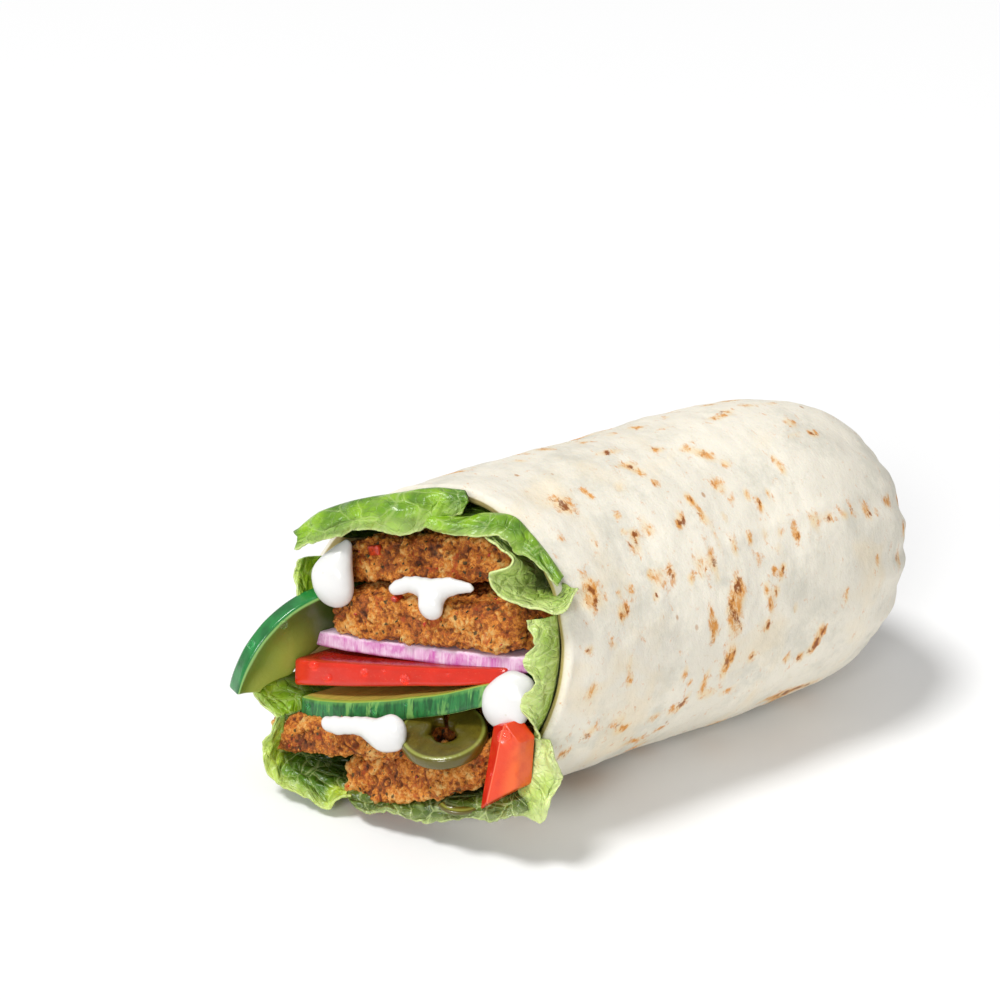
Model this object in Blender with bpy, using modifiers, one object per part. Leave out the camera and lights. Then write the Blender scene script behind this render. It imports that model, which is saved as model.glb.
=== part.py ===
"""Half of a vegetable wrap, cut across on a slant and lying on its side.

Sizes are in millimetres and finish() scales each mesh to metres. X runs along the roll, the cut end is at -X, and
the roll lies on the plane Z = 0. A place in the filling is (s, t): s across the layers towards -Y, t up through
them, both from the roll's axis. The reach of a piece is how far it stands out of the cut along -X.
"""

import math

import bmesh
import bpy
from mathutils import Vector, noise

MM = 0.001

LENGTH = 116.3
CUT_MIDDLE = -55.7
RIM_RADIUS = 33.0
SWELL = 1.3
WALL = 2.4
END_LENGTH = 38.5
END_ROUNDNESS = 0.60
SETTLE = 0.9
CUT_SIDE = -0.335
CUT_UP = 0.336
CAVITY_END = 30.0
RIM_EDGE = 0.7
SEAM_STEP = 1.0
SEAM_ANGLE = math.radians(-150.0)
PLEATS = 13
PLEAT_DEPTH = 0.7

LAYER_ROLL = math.radians(16.5)
ROOM = 28.6
FILLING_END = 26.0

LEAF_THICK = 0.8
LEAF_TUCK = 24.0
LEAF_SHOWS = 0.42
LEAF_RADIUS = 29.55
AXIS_HEIGHT = RIM_RADIUS - SETTLE
STACK_HEIGHT = 33.0

STRIP_CENTRE = (-63.7, 15.4)
STRIP_SIDE = 24.0
STRIP_RADIUS = 24.0
STRIP_DEPTH = 9.6
STRIP_THICK = 4.2
STRIP_ANGLES = (math.radians(84.0), math.radians(169.0))

WEDGE_PLACE = (24.6, -19.7)
WEDGE_SIZE = (3.8, 6.1, 14.8)
WEDGE_REACH = 5.9
WEDGE_RIDGE = 1.3


def clear_scene():
    for existing in list(bpy.data.objects):
        bpy.data.objects.remove(existing)


def new_collection(name):
    collection = bpy.data.collections.new(name)
    bpy.context.scene.collection.children.link(collection)
    return collection


def material(name, colour, roughness):
    made = bpy.data.materials.new(name)
    made.use_nodes = True
    shader = made.node_tree.nodes["Principled BSDF"]
    shader.inputs["Base Color"].default_value = (*colour, 1.0)
    shader.inputs["Roughness"].default_value = roughness
    shader.inputs["Metallic"].default_value = 0.0
    return made


def finish(name, bm, look, collection):
    """Scales the mesh to metres and makes the named object from it."""
    bmesh.ops.recalc_face_normals(bm, faces=bm.faces)
    bmesh.ops.scale(bm, vec=(MM, MM, MM), verts=bm.verts)
    mesh = bpy.data.meshes.new(name)
    bm.to_mesh(mesh)
    bm.free()
    mesh.materials.append(look)
    mesh.shade_smooth()
    made = bpy.data.objects.new(name, mesh)
    collection.objects.link(made)
    return made


def smooth_step(low, high, value):
    share = min(1.0, max(0.0, (value - low) / (high - low)))
    return share * share * (3.0 - 2.0 * share)


def cut_x(y, z):
    """Where the slanted cut lies at a point of the roll's cross-section."""
    return CUT_MIDDLE + CUT_SIDE * y + CUT_UP * (z - AXIS_HEIGHT)


def section_point(s, t):
    """Y and Z of a place in the filling."""
    y = -s * math.cos(LAYER_ROLL) + t * math.sin(LAYER_ROLL)
    z = STACK_HEIGHT + s * math.sin(LAYER_ROLL) + t * math.cos(LAYER_ROLL)
    return y, z


def polar_point(angle, radius):
    """Y and Z at an angle round the axis: 0 faces -Y, 90 is up, 180 faces +Y."""
    y = -radius * math.cos(angle)
    z = AXIS_HEIGHT + radius * math.sin(angle)
    return y, z


def hold_in(y, z, room):
    """Brings a point of the cross-section that lies beyond the room back inside it, softly."""
    height = z - AXIS_HEIGHT
    distance = math.hypot(y, height)
    start = room - 5.0
    if distance <= start:
        return y, z
    kept = start + 5.0 * math.tanh((distance - start) / 5.0)
    return y * kept / distance, AXIS_HEIGHT + height * kept / distance


def lumps(point, size, seed):
    shifted = Vector(point) / size + Vector((seed * 7.3, seed * 3.1, seed * 5.7))
    return noise.noise(shifted)


def outer_radius(x):
    """The roll's radius along its length, with the round of the closed end."""
    along = x - CUT_MIDDLE
    body = RIM_RADIUS + SWELL * smooth_step(0.0, LENGTH, min(along, LENGTH - END_LENGTH * 0.4))
    into_end = (along - (LENGTH - END_LENGTH)) / END_LENGTH
    if into_end <= 0.0:
        return body
    return body * math.cos(math.asin(min(1.0, into_end))) ** END_ROUNDNESS


def tortilla_profile():
    """Half of the lengthwise section: out round the closed end, along to the rim and back inside."""
    points = []
    for step in range(10):
        turn = math.radians(90.0 - 9.0 * step)
        x = CUT_MIDDLE + LENGTH - END_LENGTH + END_LENGTH * math.sin(turn)
        points.append((x, outer_radius(x) if step else 0.0))
    wall_start = CUT_MIDDLE + LENGTH - END_LENGTH
    for step in range(9):
        x = wall_start + (CUT_MIDDLE + RIM_EDGE - wall_start) * step / 8.0
        points.append((x, outer_radius(x)))
    points.append((CUT_MIDDLE, RIM_RADIUS - 0.5 * WALL + 0.23 * WALL))
    points.append((CUT_MIDDLE, RIM_RADIUS - 0.5 * WALL - 0.23 * WALL))
    cavity_end = CUT_MIDDLE + LENGTH - CAVITY_END
    inner_start = CUT_MIDDLE + RIM_EDGE
    for step in range(7):
        x = inner_start + (cavity_end - 8.0 - inner_start) * step / 6.0
        points.append((x, outer_radius(x) - WALL))
    points.append((cavity_end - 2.5, 0.77 * RIM_RADIUS))
    points.append((cavity_end, 0.42 * RIM_RADIUS))
    points.append((cavity_end, 0.0))
    return points


def seam_rise(angle):
    """The sheet rises slowly round the roll and drops at the outer flap's edge."""
    turn = ((angle - SEAM_ANGLE) / math.tau) % 1.0
    return SEAM_STEP * (turn - 0.5)


def shape_roll(x, y, z, outside):
    """Slants the rim, tucks the closed end and settles the underside on the ground."""
    angle = math.atan2(z, -y)
    radius = math.hypot(y, z)
    along = x - CUT_MIDDLE
    slant = max(0.0, 1.0 - along / (LENGTH - END_LENGTH))
    x += slant * (CUT_SIDE * y + CUT_UP * z)
    scale = 1.0
    if outside and radius > 1.0:
        tuck = smooth_step(LENGTH - 34.0, LENGTH - 12.0, along)
        fold = math.cos(PLEATS * angle + 2.0 * math.sin(angle * 2.0) + along * 0.12)
        lift = PLEAT_DEPTH * tuck * min(1.0, radius / 14.0) * fold
        wave = 0.25 * math.sin(3.0 * angle + along * 0.05) + 0.2 * math.sin(along * 0.16 + 2.0 * angle)
        near_rim = smooth_step(0.0, 12.0, along)
        seam = seam_rise(angle) * near_rim * min(1.0, radius / 30.0)
        scale = (radius + lift + wave * near_rim + seam) / radius
    body = RIM_RADIUS + SWELL * smooth_step(0.0, LENGTH, min(along, LENGTH - END_LENGTH * 0.4))
    height = z * scale + body - SETTLE
    floor = 0.0 if outside else WALL - SETTLE
    return x, y * scale, max(height, floor)


def make_tortilla(look, collection):
    bm = bmesh.new()
    points = tortilla_profile()
    rim_index = 20
    verts = [bm.verts.new((x, 0.0, radius)) for x, radius in points]
    edges = [bm.edges.new(pair) for pair in zip(verts[:-1], verts[1:])]
    inner_start = points[rim_index][0]
    bmesh.ops.spin(
        bm, geom=verts + edges, cent=(0.0, 0.0, 0.0), axis=(1.0, 0.0, 0.0), angle=math.tau, steps=48,
        use_merge=True,
    )
    bmesh.ops.remove_doubles(bm, verts=bm.verts, dist=0.001)
    inner_limit = [x for x, radius in points[rim_index:]]
    for vert in bm.verts:
        x, y, z = vert.co
        radius = math.hypot(y, z)
        inside = radius < outer_radius(x) - 0.7 * WALL and x <= inner_limit[-1] + 0.01 and x >= inner_start - 1.0
        vert.co = shape_roll(x, y, z, not inside)
    bmesh.ops.triangulate(bm, faces=bm.faces)
    return finish("tortilla", bm, look, collection)


def box_grid(steps_x, steps_s, steps_t):
    """A box from -1 to 1 each way with its sides cut into a grid."""
    bm = bmesh.new()
    bmesh.ops.create_cube(bm, size=2.0)
    for axis, steps in ((0, steps_x), (1, steps_s), (2, steps_t)):
        along = [
            edge for edge in bm.edges
            if abs((edge.verts[1].co - edge.verts[0].co).normalized()[axis]) > 0.99
        ]
        bmesh.ops.subdivide_edges(bm, edges=along, cuts=steps - 1, use_grid_fill=True)
    return bm


def rounded(point, half_sizes, radius):
    """Moves a point on a box's side onto the same box with rounded edges."""
    core = Vector([
        min(max(value * half, -(half - radius)), half - radius)
        for value, half in zip(point, half_sizes)
    ])
    out = Vector([value * half for value, half in zip(point, half_sizes)]) - core
    return core + out.normalized() * radius


def make_layer(name, look, collection, across, middle, reach, thick, tilt=0.0, edge=2.0, curve=2.0, lean=0.0,
               taper=0.0, bend=0.0, bump=0.0, bump_size=7.0, room=ROOM, back=FILLING_END, seed=1, steps=(8, 8, 2)):
    """A layer of the filling from the cut back through the roll.

    across is its span of s, middle its height t, tilt and taper the height and thickness gained for each mm of s,
    bend how far its ends turn up, reach how far its front stands out at the middle, curve how much less it does at
    the ends, and lean how much more it does at the first end.
    """
    bm = box_grid(*steps)
    half_width = 0.5 * (across[1] - across[0])
    centre = 0.5 * (across[1] + across[0])
    for vert in bm.verts:
        share = vert.co.copy()
        local = rounded(share, (40.0, half_width, 0.5 * thick), edge)
        depth = (local.x + 40.0) / 80.0
        s = centre + local.y
        side = local.y / half_width
        t = middle + tilt * local.y + local.z * (1.0 + taper * local.y / thick) + bend * side * side
        if bump:
            swell = lumps((local.x, s, t), bump_size, seed) + 0.5 * lumps((local.x, s, t), bump_size * 0.45, seed)
            s += bump * swell * side
            t += bump * 0.6 * swell * (1.0 if local.z > 0.0 else -1.0) * min(1.0, abs(local.z) / (0.3 * thick))
        y, z = section_point(s, t)
        outside = reach * (1.0 - smooth_step(0.0, 0.3, depth))
        y, z = hold_in(y, z, room + 0.25 * outside)
        front = cut_x(y, z) - reach + lean * side + curve * side ** 4
        if bump:
            front += bump * lumps((local.x, s * 1.3, t * 1.3), bump_size * 0.7, seed + 3)
        x = front + depth * (back - front)
        vert.co = (x, y, z)
    bmesh.ops.triangulate(bm, faces=bm.faces)
    return finish(name, bm, look, collection)


def make_leaf(name, look, collection, angles, edge, reach, seed=1, root=LEAF_RADIUS, ruffle=1.0, waves=2.0, jag=0.7,
              skew=0.0, bend=1.5, bulge=0.0, cells=(12, 9), lowest=0.7):
    """A leaf that lines the roll's inside and stands out of the cut.

    angles is its span round the axis in degrees, root its radius inside, edge its radius at the outer edge, reach how
    far the edge stands out, skew the change of reach from one side to the other, bend how late it turns, and bulge
    how far it arches outwards before it turns in.
    """
    bm = bmesh.new()
    bmesh.ops.create_grid(bm, x_segments=cells[0], y_segments=cells[1], size=1.0)
    for vert in bm.verts:
        across = 0.5 * (vert.co.x + 1.0)
        along = 0.5 * (vert.co.y + 1.0)
        phase = seed * 1.7
        out = max(0.0, (along - LEAF_SHOWS) / (1.0 - LEAF_SHOWS))
        sides = (2.0 * across - 1.0) ** 2
        angle = 0.5 * (angles[0] + angles[1]) + (across - 0.5) * (angles[1] - angles[0]) * (1.0 - 0.12 * out)
        radius = root + (edge - root) * out ** bend + bulge * math.sin(math.pi * out ** 1.4)
        radius += ruffle * out * math.sin(math.tau * waves * across + phase + 1.5 * out)
        top = reach + skew * (2.0 * across - 1.0) - 0.4 * reach * sides ** 2
        top += jag * math.sin(math.tau * waves * 1.7 * across + phase * 2.0)
        stands = 1.1 + (top - 1.1) * out - LEAF_TUCK * max(0.0, 1.0 - along / LEAF_SHOWS)
        y, z = polar_point(math.radians(angle), radius)
        x = cut_x(y, z) - stands
        vert.co = (x, y, max(z, lowest))
    bmesh.ops.triangulate(bm, faces=bm.faces)
    leaf = finish(name, bm, look, collection)
    solid = leaf.modifiers.new("Thickness", "SOLIDIFY")
    solid.thickness = LEAF_THICK * MM
    solid.offset = 0.0
    return leaf


def make_sauce(name, look, collection, blobs, flatten=0.5, voxel=1.25):
    """A dollop of sauce: round blobs joined into one smooth lump, flattened against what lies behind it."""
    bm = bmesh.new()
    for s, t, reach, radius in blobs:
        y, z = section_point(s, t)
        x = cut_x(y, z) - reach
        ball = bmesh.ops.create_icosphere(bm, subdivisions=3, radius=radius)
        for vert in ball["verts"]:
            offset = vert.co.copy()
            vert.co = Vector((x + offset.x * flatten + CUT_SIDE * offset.y, y + offset.y, z + offset.z))
    dollop = finish(name, bm, look, collection)
    join = dollop.modifiers.new("Join", "REMESH")
    join.mode = "VOXEL"
    join.voxel_size = voxel * MM
    join.use_smooth_shade = True
    return dollop


def make_ring(name, look, collection, centre, radius, hole, thick, normal, gap_angle, start, steps=24):
    """A slice of a small pepper: a ring cut open on one side."""
    bm = bmesh.new()
    middle = 0.5 * (radius + hole)
    half = 0.5 * (radius - hole)
    outline = []
    for step in range(8):
        turn = math.tau * step / 8.0 + math.pi / 8.0
        outline.append((middle + half * math.copysign(abs(math.cos(turn)) ** 0.6, math.cos(turn)),
                        0.5 * thick * math.copysign(abs(math.sin(turn)) ** 0.6, math.sin(turn))))
    verts = [bm.verts.new((r, 0.0, h)) for r, h in outline]
    face = bm.faces.new(verts)
    bmesh.ops.spin(
        bm, geom=[face] + list(face.edges) + verts, cent=(0.0, 0.0, 0.0), axis=(0.0, 0.0, 1.0),
        angle=math.tau - gap_angle, steps=steps,
    )
    facing = Vector((0.0, 0.0, 1.0)).rotation_difference(Vector(normal).normalized())
    y, z = section_point(centre[0], centre[1])
    x = cut_x(y, z) - centre[2]
    for vert in bm.verts:
        angle = math.atan2(vert.co.y, vert.co.x)
        distance = math.hypot(vert.co.x, vert.co.y) * (1.0 + 0.05 * math.sin(2.0 * angle + 0.7))
        bent = angle + start
        vert.co = Vector((distance * math.cos(bent), distance * math.sin(bent), vert.co.z))
        vert.co.rotate(facing)
        vert.co += Vector((x, y, z))
    bmesh.ops.triangulate(bm, faces=bm.faces)
    return finish(name, bm, look, collection)


def make_green_pepper(look, collection):
    """A strip of a large pepper: an arc about the Y direction that narrows to its tip."""
    bm = box_grid(14, 3, 4)
    start, end = STRIP_ANGLES
    for vert in bm.verts:
        local = rounded(vert.co, (20.0, 0.5 * STRIP_THICK, 0.5 * STRIP_DEPTH), 1.0)
        share = 0.5 * (local.x / 20.0 + 1.0)
        angle = start + (end - start) * share
        taper = 1.0 - 0.55 * smooth_step(0.75, 1.0, share)
        radius = STRIP_RADIUS - (0.5 * STRIP_DEPTH - local.z) * taper
        y = STRIP_SIDE + local.y + share
        x = STRIP_CENTRE[0] + radius * math.cos(angle)
        z = STRIP_CENTRE[1] + radius * math.sin(angle)
        vert.co = (x, y, z)
    bmesh.ops.triangulate(bm, faces=bm.faces)
    return finish("green_pepper", bm, look, collection)


def make_red_pepper(look, collection):
    """A wedge of red pepper standing at the right of the cut, with a ridge down its front."""
    bm = box_grid(3, 4, 6)
    half_sizes = [0.5 * size for size in WEDGE_SIZE]
    for vert in bm.verts:
        local = rounded(vert.co, half_sizes, 0.8)
        side = local.y / half_sizes[1]
        s = WEDGE_PLACE[0] + local.y * (1.0 - 0.028 * local.z)
        t = WEDGE_PLACE[1] + local.z + side * (1.5 - 0.10 * local.z)
        y, z = section_point(s, t)
        x = cut_x(y, z) - WEDGE_REACH + local.x + WEDGE_RIDGE * abs(side - 0.1)
        vert.co = (x, y, z)
    bmesh.ops.triangulate(bm, faces=bm.faces)
    return finish("red_pepper", bm, look, collection)


def make_patties(look, collection):
    """The strips of patty, each (name, span of s, height t, reach, thickness, tilt, lean, room)."""
    strips = (
        ("patty_top", (-19.6, 18.0), 17.5, 3.0, 8.9, 0.0, 0.0, 27.8),
        ("patty_second", (-18.8, 24.5), 6.4, 5.0, 8.8, -0.07, 0.5, ROOM),
        ("patty_third", (-26.0, 3.2), -16.5, 11.0, 7.2, 0.0, 1.5, 27.2),
        ("patty_bottom", (-12.0, 19.6), -24.4, 8.0, 7.6, 0.15, 0.0, 28.2),
    )
    for number, (name, across, middle, reach, thick, tilt, lean, room) in enumerate(strips):
        make_layer(name, look, collection, across, middle, reach, thick, tilt=tilt, lean=lean, room=room, edge=2.6,
                   bump=0.8, seed=number + 1, steps=(10, 9, 3))


def make_slices(onion, tomato, cucumber, collection):
    """The flat vegetable layers between the patties."""
    make_layer("onion", onion, collection, (-25.4, 24.0), -0.2, 3.0, 2.7, tilt=-0.08, edge=0.9, curve=3.0, lean=1.4)
    make_layer("tomato", tomato, collection, (-24.8, 20.0), -4.2, 5.5, 3.8, tilt=0.0, taper=-0.08, edge=1.1, lean=3.0)
    make_layer("cucumber", cucumber, collection, (-21.0, 20.0), -10.3, 8.5, 3.6, tilt=0.045, bend=1.3, edge=0.9,
               curve=3.0, lean=3.0)


def make_sauces(look, collection):
    """The dollops and drips of sauce, each blob (s, t, reach, radius)."""
    make_sauce("sauce_left", look, collection, [
        (-14.0, 19.8, 6.0, 2.0), (-14.8, 17.6, 6.8, 3.5), (-15.5, 15.0, 7.0, 4.8), (-15.6, 13.4, 7.0, 4.5),
    ])
    make_sauce("sauce_middle", look, collection, [
        (0.6, 13.3, 6.7, 2.1), (2.4, 13.6, 6.7, 2.2), (4.2, 13.5, 6.8, 2.2), (7.0, 12.6, 7.0, 2.6),
        (8.4, 10.0, 7.2, 2.8), (10.4, 13.1, 6.7, 2.4), (14.0, 13.0, 6.2, 1.8),
    ])
    make_sauce("sauce_right", look, collection, [
        (24.0, -5.6, 5.0, 2.8), (23.0, -6.8, 5.0, 4.0), (22.3, -8.4, 5.2, 3.9), (23.5, -8.0, 5.2, 3.5),
    ])
    make_sauce("sauce_low", look, collection, [
        (-8.4, -12.2, 14.2, 2.0), (-4.6, -12.2, 14.2, 2.2), (-0.6, -12.3, 14.2, 2.3), (3.2, -13.1, 14.4, 3.1),
        (6.2, -13.3, 14.5, 3.8), (7.4, -12.0, 14.4, 3.0),
    ])


def make_leaves(look, collection):
    """The lettuce round the filling, clockwise from the top left as the cut is seen."""
    make_leaf("lettuce_top_left", look, collection, (94.0, 146.0), 26.5, 10.0, seed=1, skew=1.0, bulge=4.5)
    make_leaf("lettuce_top", look, collection, (37.0, 92.0), 29.3, 3.5, seed=2, ruffle=0.5)
    make_leaf("lettuce_cup", look, collection, (31.0, 66.0), 26.5, 10.0, seed=3, root=27.9, ruffle=0.8, cells=(9, 9))
    make_leaf("lettuce_right", look, collection, (-6.5, 35.0), 28.8, 6.5, seed=4, ruffle=0.8)
    make_leaf("lettuce_bottom_right", look, collection, (-44.0, -16.0), 38.6, 1.8, seed=6, ruffle=0.6, jag=0.3,
              bend=1.0, cells=(9, 9))
    make_leaf("lettuce_bottom", look, collection, (-89.0, -46.0), 34.5, 6.5, seed=7, ruffle=0.6, bend=1.0)
    make_leaf("lettuce_bottom_left", look, collection, (-140.0, -91.0), 32.4, 14.0, seed=8)
    make_leaf("lettuce_left", look, collection, (-162.0, -142.0), 30.8, 13.0, seed=9, cells=(8, 9))
    make_leaf("lettuce_left_top", look, collection, (150.0, 196.0), 31.0, 7.0, seed=10, skew=-4.0, cells=(10, 9))


def main():
    clear_scene()
    parts = new_collection("vegetable_wrap")
    patty = material("patty", (0.42, 0.17, 0.045), 0.70)
    onion = material("onion", (0.62, 0.22, 0.42), 0.35)
    tomato = material("tomato", (0.70, 0.045, 0.012), 0.25)
    cucumber = material("cucumber", (0.05, 0.22, 0.04), 0.35)
    pickle = material("pickled_pepper", (0.20, 0.20, 0.02), 0.30)
    sauce = material("sauce", (0.86, 0.85, 0.82), 0.20)
    lettuce = material("lettuce", (0.28, 0.50, 0.06), 0.45)

    make_tortilla(material("tortilla", (0.80, 0.74, 0.63), 0.75), parts)
    make_patties(patty, parts)
    make_slices(onion, tomato, cucumber, parts)
    make_green_pepper(material("green_pepper", (0.03, 0.20, 0.03), 0.25), parts)
    make_red_pepper(material("red_pepper", (0.72, 0.05, 0.01), 0.25), parts)
    make_sauces(sauce, parts)
    make_ring("pickle_ring", pickle, parts, (12.2, -15.7, 6.0), 8.3, 3.2, 2.6, (-0.12, 0.08, 0.98), 0.34, 1.04)
    make_ring("pickle_under", pickle, parts, (13.4, -27.6, 3.4), 5.6, 3.6, 1.0, (-0.05, 0.28, 0.96), 4.2, 3.1, 10)
    make_leaves(lettuce, parts)


main()
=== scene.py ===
"""Half of a vegetable wrap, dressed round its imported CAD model.

Shapes are worked out in millimetres and placed in metres. X runs along the roll with the cut end at -X, and a place
in the filling is (s, t): s across the layers towards -Y, t up through them. The reach of a piece is how far it stands
out of the slanted cut.
"""

import math
import random

import bmesh
import bpy
from mathutils import Matrix, Vector, noise
from mathutils.bvhtree import BVHTree


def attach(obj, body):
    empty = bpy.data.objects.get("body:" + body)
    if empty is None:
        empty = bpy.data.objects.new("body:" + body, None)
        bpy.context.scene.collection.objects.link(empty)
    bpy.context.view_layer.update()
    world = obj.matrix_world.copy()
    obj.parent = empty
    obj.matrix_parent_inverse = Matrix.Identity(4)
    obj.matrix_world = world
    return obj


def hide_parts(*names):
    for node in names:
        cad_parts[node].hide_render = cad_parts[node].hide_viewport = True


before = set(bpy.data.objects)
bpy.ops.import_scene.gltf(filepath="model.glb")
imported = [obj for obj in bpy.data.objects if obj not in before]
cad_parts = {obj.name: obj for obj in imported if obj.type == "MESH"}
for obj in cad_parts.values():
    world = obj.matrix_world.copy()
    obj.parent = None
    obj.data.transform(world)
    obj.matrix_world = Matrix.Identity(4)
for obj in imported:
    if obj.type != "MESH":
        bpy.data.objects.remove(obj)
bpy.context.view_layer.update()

bl_info = {
    "name": "Vegetable wrap",
    "version": (1, 0, 0),
    "blender": (4, 5, 0),
    "location": "View3D > Sidebar > Wrap",
    "description": "Builds half of a vegetable wrap with its filling, material by material",
    "category": "Object",
}

MM = 0.001

# The roll: its length, its radius at the cut and how much it swells, settles and rounds off at its closed end
LENGTH = 116.3
CUT_MIDDLE = -55.7
RIM_RADIUS = 33.0
SWELL = 1.3
END_LENGTH = 38.5
END_ROUNDNESS = 0.60
SETTLE = 0.9
AXIS_HEIGHT = RIM_RADIUS - SETTLE

# The slope of the cut along Y and Z
CUT_SIDE = -0.335
CUT_UP = 0.336

# The filling: the turn and height of its layers, the radius that they keep inside and where they end in the roll
LAYER_ROLL = math.radians(16.5)
STACK_HEIGHT = 33.0
ROOM = 29.0
SOFT_ROOM = 5.0
FILLING_END = 26.0

CAMERA_PLACE = Vector((-0.2163, -0.277, 0.2087))
CAMERA_YAW = math.radians(32.9)
CAMERA_PITCH = math.radians(24.1)
CAMERA_LENS = 65.0
SENSOR_WIDTH = 36.0
PICTURE_WIDTH = 1000.0


# Places in the roll


def smooth_step(low, high, value):
    share = min(1.0, max(0.0, (value - low) / (high - low)))
    return share * share * (3.0 - 2.0 * share)


def cut_x(y, z):
    """Where the slanted cut lies at a point of the roll's cross-section."""
    return CUT_MIDDLE + CUT_SIDE * y + CUT_UP * (z - AXIS_HEIGHT)


def section_point(s, t):
    """Y and Z of a place in the filling."""
    y = -s * math.cos(LAYER_ROLL) + t * math.sin(LAYER_ROLL)
    z = STACK_HEIGHT + s * math.sin(LAYER_ROLL) + t * math.cos(LAYER_ROLL)
    return y, z


def hold_in(y, z, room):
    """Brings a point of the cross-section that lies beyond the room back inside it, softly."""
    height = z - AXIS_HEIGHT
    distance = math.hypot(y, height)
    start = room - SOFT_ROOM
    if distance <= start:
        return y, z
    kept = start + SOFT_ROOM * math.tanh((distance - start) / SOFT_ROOM)
    return y * kept / distance, AXIS_HEIGHT + height * kept / distance


def camera_axes():
    """The camera's forward, right and up directions."""
    forward = Vector((
        math.sin(CAMERA_YAW) * math.cos(CAMERA_PITCH), math.cos(CAMERA_YAW) * math.cos(CAMERA_PITCH),
        -math.sin(CAMERA_PITCH),
    ))
    right = forward.cross(Vector((0.0, 0.0, 1.0))).normalized()
    return forward, right, right.cross(forward)


def lumps(point, size, seed):
    shifted = Vector(point) / size + Vector((seed * 7.3, seed * 3.1, seed * 5.7))
    return noise.noise(shifted)


def grains(point, size, seed):
    """Rounded crumbs: high in the middle of each cell and low between them."""
    shifted = Vector(point) / size + Vector((seed * 2.9, seed * 6.1, seed * 4.3))
    near = noise.voronoi(shifted)[0]
    return near[1] - near[0]


# Meshes and materials


def add_object(name, data):
    made = bpy.data.objects.new(name, data)
    bpy.context.scene.collection.objects.link(made)
    return made


def shade(share, colour):
    """The colour, darker or lighter by one share."""
    return tuple(share * value for value in colour)


def place_piece(name, bm, look, nodes=(), recalculate=True):
    """Makes the finished piece from a mesh in millimetres."""
    if recalculate:
        bmesh.ops.recalc_face_normals(bm, faces=bm.faces)
    bmesh.ops.scale(bm, vec=(MM, MM, MM), verts=bm.verts)
    mesh = bpy.data.meshes.new(name)
    bm.to_mesh(mesh)
    bm.free()
    mesh.shade_smooth()
    mesh.materials.append(look)
    piece = add_object(name, mesh)
    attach(piece, "root")
    if nodes:
        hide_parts(*nodes)
    return piece


def remeshed(bm, voxel):
    """The closed mesh again as one even skin, with blobs that overlap run together."""
    mesh = bpy.data.meshes.new("shell")
    bm.to_mesh(mesh)
    bm.free()
    holder = add_object("shell", mesh)
    join = holder.modifiers.new("Join", "REMESH")
    join.mode = "VOXEL"
    join.voxel_size = voxel
    result = bmesh.new()
    result.from_object(holder, bpy.context.evaluated_depsgraph_get())
    bpy.data.objects.remove(holder)
    bpy.data.meshes.remove(mesh)
    return result


def box_grid(steps_x, steps_s, steps_t):
    """A box from -1 to 1 each way with its sides cut into a grid."""
    bm = bmesh.new()
    bmesh.ops.create_cube(bm, size=2.0)
    for axis, steps in ((0, steps_x), (1, steps_s), (2, steps_t)):
        along = [
            edge for edge in bm.edges
            if abs((edge.verts[1].co - edge.verts[0].co).normalized()[axis]) > 0.99
        ]
        bmesh.ops.subdivide_edges(bm, edges=along, cuts=steps - 1, use_grid_fill=True)
    return bm


def rounded(point, half_sizes, radius):
    """Moves a point on a box's side onto the same box with rounded edges."""
    core = Vector([
        min(max(value * half, -(half - radius)), half - radius)
        for value, half in zip(point, half_sizes)
    ])
    out = Vector([value * half for value, half in zip(point, half_sizes)]) - core
    if out.length < 1e-9:
        return core
    return core + out.normalized() * radius


class Wire:
    """A socket of a material, so that its maths reads as an expression."""

    def __init__(self, paint, socket):
        self.paint = paint
        self.socket = socket

    def maths(self, operation, first, second):
        return self.paint.node("ShaderNodeMath", {"operation": operation}, {0: first, 1: second})

    def __add__(self, other):
        return self.maths("ADD", self, other)

    __radd__ = __add__

    def __sub__(self, other):
        return self.maths("SUBTRACT", self, other)

    def __rsub__(self, other):
        return self.maths("SUBTRACT", other, self)

    def __mul__(self, other):
        return self.maths("MULTIPLY", self, other)

    __rmul__ = __mul__


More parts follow.
